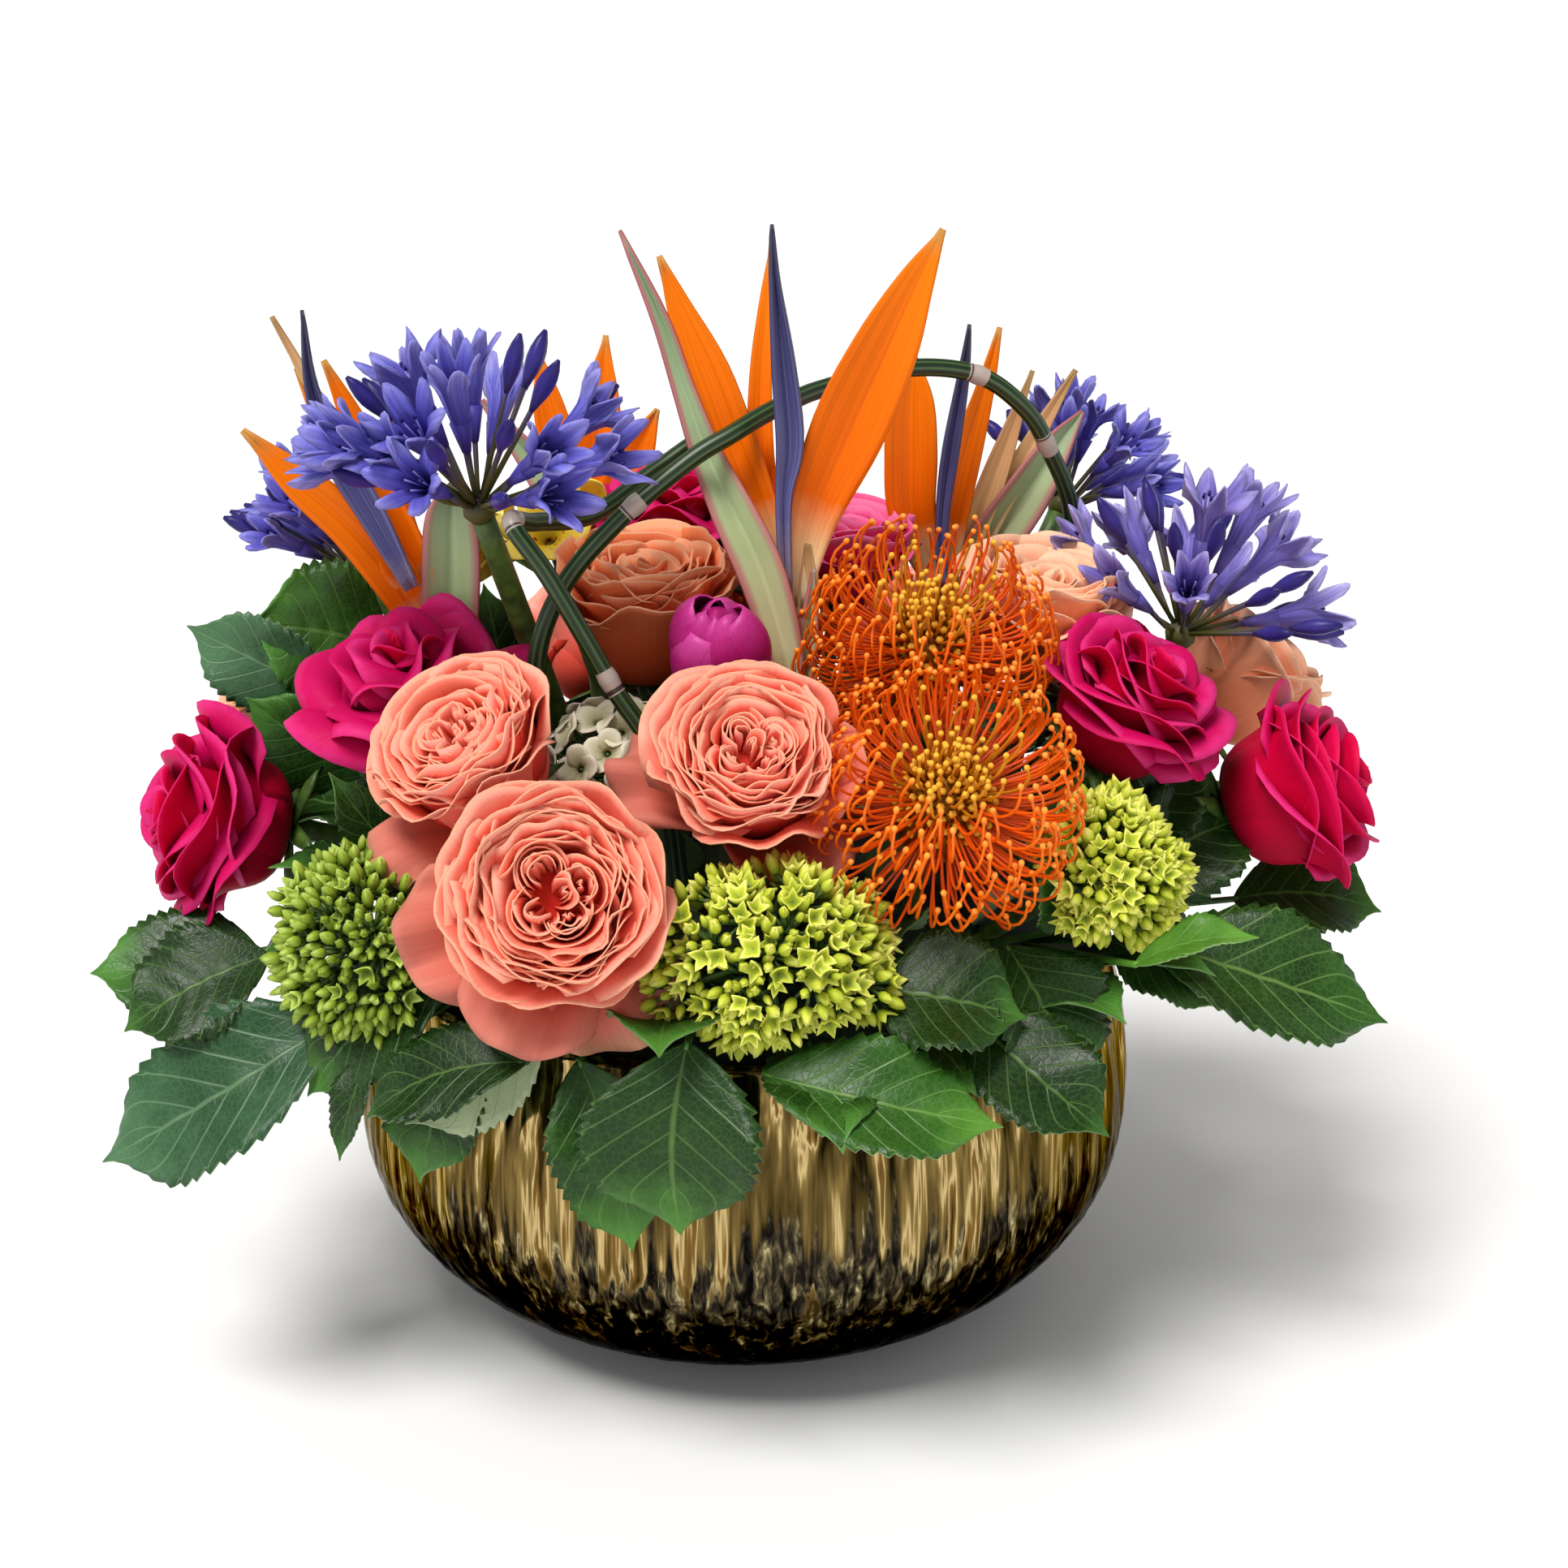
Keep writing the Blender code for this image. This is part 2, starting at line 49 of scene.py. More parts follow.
BOWL_FOOT = 45 * MM
BOWL_BELLY = 128 * MM
BOWL_BELLY_HEIGHT = 68 * MM
BOWL_RIM = 121 * MM
BOWL_HEIGHT = 125 * MM
BOWL_WALL = 4 * MM
BOWL_FLOOR = 6 * MM
BOWL_COLUMNS = 420
RIPPLE_WIDTH = 7.5 * MM
RIPPLE_DEPTH = 1.5 * MM
MOTTLE_SIZE = 4.0 * MM
MOTTLE_DEPTH = 0.45 * MM
RELIEF_INSET = 0.6 * MM
STREAK_WIDTH = 5.4 * MM
FLECK_SIZE = 2.9 * MM


def linear(colour):
    """An sRGB hex colour as the linear values that a shader socket takes."""
    shares = [int(colour[start : start + 2], 16) / 255 for start in (1, 3, 5)]
    return [c / 12.92 if c <= 0.04045 else ((c + 0.055) / 1.055) ** 2.4 for c in shares] + [1.0]


def add_node(tree, kind, settings=None, inputs=None, stops=None):
    """Adds one node. An input given as a socket is linked to it, and any other value is set on it."""
    node = tree.nodes.new(kind)
    for name, value in (settings or {}).items():
        setattr(node, name, value)
    for name, value in (inputs or {}).items():
        if isinstance(value, bpy.types.NodeSocket):
            tree.links.new(value, node.inputs[name])
        else:
            node.inputs[name].default_value = value
    if stops:
        ramp = node.color_ramp
        while len(ramp.elements) < len(stops):
            ramp.elements.new(0.5)
        for element, (place, colour) in zip(ramp.elements, stops):
            element.position = place
            element.color = linear(colour)
    return node


def new_finish(name):
    """An empty Principled finish: the material, its node tree and its shader."""
    made = bpy.data.materials.new(name)
    made.use_nodes = True
    return made, made.node_tree, made.node_tree.nodes["Principled BSDF"]


def smooth(share):
    """0 below 0, 1 above 1, and an easy curve between."""
    share = np.clip(share, 0.0, 1.0)
    return share * share * (3.0 - 2.0 * share)


VALUES = ("reach", "across", "tone", "face")


def across_from(way):
    """An axis that way doesn't run along."""
    return np.array([0.0, 0.0, 1.0]) if abs(way[2]) < 0.9 else np.array([1.0, 0.0, 0.0])


class Skin:
    """Gathers patches, each a grid of points, into one mesh that carries named values at its points.

    reach runs 0 to 1 from the patch's root to its far end and across -1 to 1 from edge to edge. tone
    differs from petal to petal, and face is 0 on a petal's inner or upper side and 1 on its back.
    """

    def __init__(self):
        self.points, self.quads, self.values, self.slots = [], [], [], []
        self.total = 0

    def patch(self, grid, values, slot=0, closed=False, ends=False):
        rows, columns = grid.shape[:2]
        index = np.arange(rows * columns).reshape(rows, columns)
        ring = np.concatenate([index, index[:, :1]], axis=1) if closed else index
        quads = np.stack([ring[:-1, :-1], ring[:-1, 1:], ring[1:, 1:], ring[1:, :-1]], axis=-1)
        quads = quads.reshape(-1, 4)
        if ends:
            half = columns // 2
            for row, turn in ((0, 1), (rows - 1, -1)):
                upper, lower = index[row, :half], index[row, half:][::-1]
                cap = np.stack([upper[:-1], lower[:-1], lower[1:], upper[1:]], axis=-1)
                quads = np.concatenate([quads, cap[:, ::turn]])
        flat = grid.reshape(-1, 3)
        if closed:
            a, b, c, d = (flat[quads[:, corner]] - flat.mean(axis=0) for corner in range(4))
            volume = (a * np.cross(b, c)).sum() + (a * np.cross(c, d)).sum()
            if volume < 0:
                quads = quads[:, ::-1]
        self.points.append(flat)
        self.quads.append(quads + self.total)
        self.values.append(np.stack([np.broadcast_to(v, (rows, columns)).ravel() for v in values], -1))
        self.slots.append(np.full(len(quads), slot))
        self.total += len(flat)

    def sheet(self, grid, tone, thickness, slot=0):
        """A thin petal or leaf with a front and a back, closed round its edge."""
        rows, columns = grid.shape[:2]
        along = np.gradient(grid, axis=0)
        sideways = np.gradient(grid, axis=1)
        normal = np.cross(sideways, along)
        normal /= np.linalg.norm(normal, axis=-1, keepdims=True) + 1e-12
        front, back = grid + normal * thickness / 2, grid - normal * thickness / 2
        reach = np.repeat(np.linspace(0, 1, rows)[:, None], 2 * columns, axis=1)
        across = np.linspace(-1, 1, columns)
        across = np.concatenate([across, across[::-1]])[None, :]
        face = np.repeat([0.0, 1.0], columns)[None, :]
        loop = np.concatenate([front, back[:, ::-1]], axis=1)
        self.patch(loop, (reach, across, tone, face), slot, closed=True, ends=True)

    def tube(self, path, radii, tone=0.5, sides=6, slot=0, ribs=0, rib_depth=0.0, reach=None):
        """A round or ribbed rod along a path, drawn almost shut at both ends."""
        path = np.asarray(path, float)
        count = len(path)
        radii = np.broadcast_to(np.asarray(radii, float), (count,)).copy()
        ahead = np.gradient(path, axis=0)
        ahead /= np.linalg.norm(ahead, axis=1, keepdims=True) + 1e-12
        side = np.zeros_like(path)
        side[0] = np.cross(ahead[0], across_from(ahead[0]))
        for index in range(count):
            previous = side[max(index - 1, 0)]
            level = previous - ahead[index] * (previous @ ahead[index])
            side[index] = level / (np.linalg.norm(level) + 1e-12)
        up = np.cross(ahead, side)
        turn = np.linspace(0, 2 * math.pi, sides, endpoint=False)
        shape = 1.0 + rib_depth * np.cos(ribs * turn)
        span = np.linspace(0, 1, count) if reach is None else reach
        rows = [0, *range(count), count - 1]
        scale = np.array([0.05] + [1.0] * count + [0.05])
        ring = side[rows][:, None] * np.cos(turn)[None, :, None]
        ring = ring + up[rows][:, None] * np.sin(turn)[None, :, None]
        grid = path[rows][:, None] + ring * (radii[rows] * scale)[:, None, None] * shape[None, :, None]
        values = (np.asarray(span)[rows][:, None], (turn / math.pi - 1.0)[None, :], tone, 0.0)
        self.patch(grid, values, slot, closed=True)

    def build(self, name, finishes, body, slot_name, *nodes):
        points = np.concatenate(self.points)
        quads = np.concatenate(self.quads)
        values = np.concatenate(self.values)
        mesh = bpy.data.meshes.new(name)
        mesh.vertices.add(len(points))
        mesh.vertices.foreach_set("co", points.ravel())
        mesh.loops.add(4 * len(quads))
        mesh.loops.foreach_set("vertex_index", quads.ravel())
        mesh.polygons.add(len(quads))
        mesh.polygons.foreach_set("loop_start", np.arange(0, 4 * len(quads), 4))
        mesh.polygons.foreach_set("material_index", np.concatenate(self.slots))
        mesh.polygons.foreach_set("use_smooth", np.ones(len(quads), bool))
        mesh.update(calc_edges=True)
        for column, label in enumerate(VALUES):
            slots = mesh.attributes.new(label, "FLOAT", "POINT").data
            slots.foreach_set("value", values[:, column].copy())
        for finish in finishes:
            mesh.materials.append(finish)
        piece = bpy.data.objects.new(name, mesh)
        bpy.context.scene.collection.objects.link(piece)
        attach(piece, body)
        if nodes:
            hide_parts(*nodes)


def skin_values(tree):
    """The sockets that give the Skin values: reach, across, tone and face."""
    return [add_node(tree, "ShaderNodeAttribute", {"attribute_name": label}).outputs["Fac"]
            for label in VALUES]


# Silvered and lacquered glass: a mirror under a gold lacquer, so the eye sees a smooth metal. The
# lacquer runs in crisp upright streaks above, which end in a wavy line of drips; their bright and dark
# bands are partly the lacquer's own streaks and partly painted reflection of bright and dark surroundings.
# Below it is broken into fine flecks on bronze, and painted reflection of dark surroundings darkens
# it towards the foot, colour and reflections alike, until it is almost black.
mercury_glass, tree, shader = new_finish("gold_lacquered_mercury_glass")
place = add_node(tree, "ShaderNodeTexCoord").outputs["Object"]
axes = add_node(tree, "ShaderNodeSeparateXYZ", inputs={"Vector": place})
height = add_node(tree, "ShaderNodeMath", {"operation": "DIVIDE"},
                  {0: axes.outputs["Z"], 1: BOWL_HEIGHT}).outputs[0]
upright = add_node(tree, "ShaderNodeMapping", inputs={"Vector": place, "Scale": (1.0, 1.0, 0.05)})
broad = add_node(tree, "ShaderNodeTexNoise", inputs={
    "Vector": upright.outputs[0], "Scale": 1 / (13 * MM), "Detail": 1.0}).outputs["Fac"]
streaks = add_node(tree, "ShaderNodeTexNoise", inputs={
    "Vector": upright.outputs[0], "Scale": 1 / STREAK_WIDTH, "Detail": 3.0, "Roughness": 0.55,
    "Distortion": 0.2}).outputs["Fac"]
streak = add_node(tree, "ShaderNodeMath", {"operation": "MULTIPLY_ADD"},
                  {0: broad, 1: 0.35, 2: -0.175}).outputs[0]
streak = add_node(tree, "ShaderNodeMath", {"operation": "ADD"}, {0: streak, 1: streaks}).outputs[0]
# Streak colours: bright and dark bands, partly the lacquer's own streaks and partly painted reflection of
# bright and dark surroundings.
streak_and_reflection_tone = add_node(tree, "ShaderNodeValToRGB", inputs={"Fac": streak}, stops=[
    (0.34, "#181206"), (0.42, "#443818"), (0.50, "#62502c"), (0.56, "#86703e"), (0.60, "#d0b880"),
    (0.63, "#7c6030"), (0.72, "#342810")])
flecks = add_node(tree, "ShaderNodeMapping", inputs={"Vector": place, "Scale": (1.0, 1.0, 0.24)})
mottle = add_node(tree, "ShaderNodeTexNoise", inputs={
    "Vector": flecks.outputs[0], "Scale": 1 / FLECK_SIZE, "Detail": 3.0, "Roughness": 0.6,
    "Distortion": 0.7})
mottle_tone = add_node(tree, "ShaderNodeValToRGB", inputs={"Fac": mottle.outputs["Fac"]}, stops=[
    (0.36, "#0c0b09"), (0.48, "#2a2620"), (0.57, "#564c36"), (0.65, "#90825c"), (0.71, "#d0c294")])
edge_wave = add_node(tree, "ShaderNodeMath", {"operation": "MULTIPLY_ADD"},
                     {0: streak, 1: 0.9, 2: -0.45}).outputs[0]
wavy_height = add_node(tree, "ShaderNodeMath", {"operation": "ADD"}, {0: height, 1: edge_wave}).outputs[0]
to_upper = add_node(tree, "ShaderNodeMapRange", {"interpolation_type": "SMOOTHSTEP"},
                    {"Value": wavy_height, "From Min": 0.50, "From Max": 0.60}).outputs[0]
lacquer = add_node(tree, "ShaderNodeMix", {"data_type": "RGBA"},
                   {0: to_upper, 6: mottle_tone.outputs[0], 7: streak_and_reflection_tone.outputs[0]}).outputs[2]
# Painted reflection: the lacquer darkens towards the foot, standing for dark surroundings mirrored in the
# glass.
painted_dark_reflection = add_node(tree, "ShaderNodeMapRange", {"interpolation_type": "SMOOTHSTEP"},
                 {"Value": wavy_height, "From Min": 0.12, "From Max": 0.54, "To Min": 0.03,
                  "To Max": 1.0}).outputs[0]
lacquer_under_painted_reflection = add_node(tree, "ShaderNodeMix", {"data_type": "RGBA", "blend_type": "MULTIPLY"},
                  {0: 1.0, 6: lacquer, 7: painted_dark_reflection}).outputs[2]
haze = add_node(tree, "ShaderNodeMapRange", inputs={
    "Value": height, "From Min": 0.1, "From Max": 0.6, "To Min": 0.26, "To Max": 0.10}).outputs[0]
# The tint of the reflections darkens low down too, from the same painted dark reflection.
edge_tint = add_node(tree, "ShaderNodeMix", {"data_type": "RGBA"},
                     {0: painted_dark_reflection, 6: linear("#16140f"), 7: linear("#bab09c")}).outputs[2]
tree.links.new(lacquer_under_painted_reflection, shader.inputs["Base Color"])
tree.links.new(edge_tint, shader.inputs["Specular Tint"])
tree.links.new(haze, shader.inputs["Roughness"])
shader.inputs["Metallic"].default_value = 1.0


def bowl_radius(height):
    """The plain outer wall before its ripples."""
    if height <= BOWL_BELLY_HEIGHT:
        drop = 1.0 - height / BOWL_BELLY_HEIGHT
        return BOWL_FOOT + (BOWL_BELLY - BOWL_FOOT) * math.sqrt(max(0.0, 1.0 - drop * drop))
    share = (height - BOWL_BELLY_HEIGHT) / (BOWL_HEIGHT - BOWL_BELLY_HEIGHT)
    return BOWL_BELLY - (BOWL_BELLY - BOWL_RIM) * share * share


def bowl_wall():
    """Runs from the middle of the floor up the inside, over a round lip and down the rippled outside."""
    inside = [(2 * MM, BOWL_FLOOR), (60 * MM, BOWL_FLOOR)]
    inside += [(bowl_radius(z) - BOWL_WALL, z) for z in np.linspace(9 * MM, BOWL_HEIGHT - 2 * MM, 14)]
    lip_middle = BOWL_RIM - BOWL_WALL / 2
    lip = [(lip_middle - math.cos(a) * BOWL_WALL / 2, BOWL_HEIGHT - 2 * MM + math.sin(a) * 2 * MM)
           for a in np.linspace(0.3, math.pi - 0.3, 7)]
    turns = np.linspace(0, 1, 96)
    outside = [(bowl_radius(z), z) for z in (BOWL_HEIGHT - 2 * MM) * (1 - turns**1.15)]
    under = [(BOWL_FOOT - 3 * MM, 0.0), (BOWL_FOOT - 6 * MM, 1.2 * MM), (2 * MM, 1.2 * MM)]
    profile = inside + lip + outside + under
    first, last = len(inside) + len(lip), len(inside) + len(lip) + len(outside)
    grid = np.zeros((len(profile), BOWL_COLUMNS, 3))
    for column, angle in enumerate(np.linspace(0, 2 * math.pi, BOWL_COLUMNS, endpoint=False)):
        cosine, sine = math.cos(angle), math.sin(angle)
        for row, (radius, z) in enumerate(profile):
            swell = 0.0
            if first < row < last:
                where = Vector((cosine * radius, sine * radius, z))
                upright = Vector((where.x, where.y, z * 0.10)) / RIPPLE_WIDTH
                ripple = noise.noise(upright) + 0.45 * noise.noise(upright * 2.1)
                lower = Vector((where.x, where.y, z * 0.5)) / MOTTLE_SIZE
                pits = noise.noise(lower) + 0.5 * noise.noise(lower * 2.3)
                wave = z / BOWL_HEIGHT + 0.25 * noise.noise(upright * 0.7)
                upper = float(smooth((wave - 0.45) / 0.22))
                settle = float(smooth(z / (8 * MM))) * float(smooth((BOWL_HEIGHT - z) / (6 * MM)))
                swell = settle * (RIPPLE_DEPTH * ripple * upper + MOTTLE_DEPTH * pits * (1 - upper))
                swell -= RELIEF_INSET * settle
            grid[row, column] = ((radius + swell) * cosine, (radius + swell) * sine, z)
    return grid


bowl_skin = Skin()
bowl_skin.patch(bowl_wall(), (0.0, 0.0, 0.5, 0.0), closed=True)
bowl_skin.build("rippled_glass_bowl", [mercury_glass], "root", "bowl", "bowl")


# ---------------------------------------------------------------------------------------------
# The foam: a soaked block of green phenolic foam that fills the bowl. It has a fine open grain,
# darker where it holds more water. Every stem is pushed straight into it.

wet_foam, tree, shader = new_finish("soaked_phenolic_foam")
place = add_node(tree, "ShaderNodeTexCoord").outputs["Object"]
grain = add_node(tree, "ShaderNodeTexNoise", inputs={
    "Vector": place, "Scale": 1 / (1.5 * MM), "Detail": 6.0, "Roughness": 0.7})
grain_tone = add_node(tree, "ShaderNodeValToRGB", inputs={"Fac": grain.outputs["Fac"]}, stops=[
    (0.35, "#07110a"), (0.60, "#16291a"), (0.75, "#223a24")])
pores = add_node(tree, "ShaderNodeBump", inputs={
    "Height": grain.outputs["Fac"], "Strength": 0.5, "Distance": 0.4 * MM})
tree.links.new(grain_tone.outputs[0], shader.inputs["Base Color"])
tree.links.new(pores.outputs[0], shader.inputs["Normal"])
shader.inputs["Roughness"].default_value = 0.9
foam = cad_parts["floral_foam"]
foam.data.materials.clear()
foam.data.materials.append(wet_foam)


# ---------------------------------------------------------------------------------------------
# Leaves: hydrangea and garden foliage, each on its own stalk in the foam. A blade is a thin sheet
# quilted between its veins, toothed along its edge and folded a little along the midrib.

STALK_RADIUS = 1.3 * MM
LEAF_SHEET = 0.5 * MM
LEAF_FOLD = 0.22
LEAF_TEETH = 15
LEAF_WIDEST = 0.40
SIDE_VEINS = 7.0
VEIN_SLANT = 0.26


def leaf_finish(name, deep, body, light, vein, back):
    """Waxy leaf skin: half gloss over a quilted green, with pale raised veins, a painted sunlit paleness
    towards the tip and a matt pale back.
    """
    made, tree, shader = new_finish(name)
    reach, across, tone, face = skin_values(tree)
    place = add_node(tree, "ShaderNodeTexCoord").outputs["Object"]
    aside = add_node(tree, "ShaderNodeMath", {"operation": "ABSOLUTE"}, {0: across}).outputs[0]
    forward = add_node(tree, "ShaderNodeMath", {"operation": "MULTIPLY_ADD"},
                       {0: aside, 1: -VEIN_SLANT, 2: reach}).outputs[0]
    count = add_node(tree, "ShaderNodeMath", {"operation": "MULTIPLY"},
                     {0: forward, 1: SIDE_VEINS}).outputs[0]
    wave = add_node(tree, "ShaderNodeMath", {"operation": "PINGPONG"}, {0: count, 1: 0.5}).outputs[0]
    side_vein = add_node(tree, "ShaderNodeMapRange", {"interpolation_type": "SMOOTHSTEP"},
                         {"Value": wave, "From Min": 0.0, "From Max": 0.065, "To Min": 1.0,
                          "To Max": 0.0}).outputs[0]
    midrib = add_node(tree, "ShaderNodeMapRange", {"interpolation_type": "SMOOTHSTEP"},
                      {"Value": aside, "From Min": 0.012, "From Max": 0.05, "To Min": 1.0,
                       "To Max": 0.0}).outputs[0]
    net = add_node(tree, "ShaderNodeTexVoronoi", {"feature": "DISTANCE_TO_EDGE"},
                   {"Vector": place, "Scale": 1 / (2.1 * MM)}).outputs["Distance"]
    net_line = add_node(tree, "ShaderNodeMapRange", inputs={
        "Value": net, "From Min": 0.0, "From Max": 0.12, "To Min": 0.24, "To Max": 0.0}).outputs[0]
    ribs = add_node(tree, "ShaderNodeMath", {"operation": "MAXIMUM"}, {0: side_vein, 1: midrib}).outputs[0]
    lines = add_node(tree, "ShaderNodeMath", {"operation": "MAXIMUM"}, {0: ribs, 1: net_line}).outputs[0]
    cloud = add_node(tree, "ShaderNodeTexNoise", inputs={
        "Vector": place, "Scale": 1 / (14 * MM), "Detail": 4.0, "Roughness": 0.6}).outputs["Fac"]
    depth = add_node(tree, "ShaderNodeMath", {"operation": "MULTIPLY_ADD"},
                     {0: cloud, 1: 0.55, 2: -0.28}).outputs[0]
    depth = add_node(tree, "ShaderNodeMath", {"operation": "ADD"}, {0: depth, 1: tone}).outputs[0]
    # Painted sunlit tip: the blade pales towards its tip as if the sun fell there; this is painted light, not
    # young growth.
    young = add_node(tree, "ShaderNodeMapRange", {"interpolation_type": "SMOOTHSTEP"},
                     {"Value": reach, "From Min": 0.55, "From Max": 1.0, "To Min": 0.0,
                      "To Max": 0.42}).outputs[0]
    depth = add_node(tree, "ShaderNodeMath", {"operation": "ADD"}, {0: depth, 1: young}).outputs[0]
    blade = add_node(tree, "ShaderNodeValToRGB", inputs={"Fac": depth}, stops=[
        (0.15, deep), (0.6, body), (1.0, light)]).outputs[0]
    vein_share = add_node(tree, "ShaderNodeMath", {"operation": "MULTIPLY"}, {0: lines, 1: 0.4}).outputs[0]
    upper = add_node(tree, "ShaderNodeMix", {"data_type": "RGBA"},
                     {0: vein_share, 6: blade, 7: linear(vein)}).outputs[2]
    under = add_node(tree, "ShaderNodeMix", {"data_type": "RGBA"},
                     {0: vein_share, 6: linear(back), 7: linear(vein)}).outputs[2]
    skin = add_node(tree, "ShaderNodeMix", {"data_type": "RGBA"}, {0: face, 6: upper, 7: under}).outputs[2]
    quilt = add_node(tree, "ShaderNodeMath", {"operation": "SUBTRACT"}, {0: cloud, 1: lines}).outputs[0]
    relief = add_node(tree, "ShaderNodeBump", inputs={
        "Height": quilt, "Strength": 0.35, "Distance": 0.5 * MM}).outputs[0]
    gloss = add_node(tree, "ShaderNodeMapRange", inputs={
        "Value": cloud, "From Min": 0.3, "From Max": 0.7, "To Min": 0.28, "To Max": 0.46}).outputs[0]
    tree.links.new(skin, shader.inputs["Base Color"])
    tree.links.new(relief, shader.inputs["Normal"])
    tree.links.new(gloss, shader.inputs["Roughness"])
    shader.inputs["Specular IOR Level"].default_value = 0.28
    return made


dark_leaf = leaf_finish("waxy_dark_leaf", "#0a1f05", "#1a3a0e", "#4c8430", "#6a9048", "#6f8a5c")
fresh_leaf = leaf_finish("waxy_fresh_leaf", "#16340c", "#2c5a18", "#5c9430", "#84ac58", "#9fb87e")
grey_leaf = leaf_finish("waxy_blue_green_leaf", "#12301a", "#254a2a", "#46704a", "#7c9c74", "#a8b890")


def unit(vector):
    vector = np.asarray(vector, float)
    return vector / (np.linalg.norm(vector) + 1e-12)


def add_leaf(skin, root, base, tip, half_width, arch, seed, rows=61, columns=11, slot=0, tone=0.5,
             up=None):
    """A stalk from root to base and a toothed, quilted blade from base to tip. Lengths in metres."""
    dice = np.random.default_rng(seed)
    root, base, tip = (np.asarray(p, float) for p in (root, base, tip))
    if up is None:
        up = unit([base[0] + tip[0], base[1] + tip[1], 0.0]) * 0.9 + [0, 0, 1]
    ahead = unit(tip - base)
    side = unit(np.cross(ahead, unit(up)))
    face = np.cross(side, ahead)
    t = np.linspace(0, 1, rows)[:, None]
    s = np.linspace(-1, 1, columns)[None, :]
    aside, swell = np.abs(s), np.sin(np.pi * t)
    near_base = np.sin(np.pi / 2 * np.clip(t / LEAF_WIDEST, 0.003, 1)) ** 0.8
    to_tip = np.clip((1 - t) / (1 - LEAF_WIDEST), 0, 1)
    pointed = (1 - (1 - to_tip) ** 2.3) * (0.25 + 0.75 * smooth(to_tip / 0.5))
    outline = np.where(t < LEAF_WIDEST, near_base, pointed)
    saw = (t * LEAF_TEETH) % 1.0
    toothed = 1 + 0.13 * np.where(aside > 0.95, saw - 0.4, 0.0) * smooth((t - 0.08) / 0.1)
    half = half_width * outline * toothed + 0.7 * MM * (1 - t)
    length = np.linalg.norm(tip - base)
    forward = t + 0.05 * aside * swell
    lift = 4 * t * (1 - t) * arch + aside * half * LEAF_FOLD
    vein = np.abs(((forward - VEIN_SLANT * aside) * SIDE_VEINS) % 1.0 - 0.5)
    lift = lift + 0.045 * half_width * (0.5 - vein) * 2 * swell * (1 - 0.4 * aside)
    phase = dice.uniform(0, 6.3, 4)
    ripple = np.sin(7 * t + phase[0]) * s**2 + 0.6 * np.sin(13 * t + phase[1] + 2 * s) * aside**3
    lift = lift + 0.13 * half_width * ripple * swell
    sway = 0.05 * length * math.sin(phase[2]) * swell
    grid = (base + ahead * (forward * length)[..., None]
            + side * (s * half + sway)[..., None] + face * lift[..., None])
    skin.sheet(grid, tone, LEAF_SHEET, slot)
    if np.linalg.norm(base - root) > 4 * MM:
        skin.tube([root, (root + base) / 2, base, grid[2, columns // 2]],
                  STALK_RADIUS * np.array([1, 1, 0.8, 0.5]), tone, 7, slot)


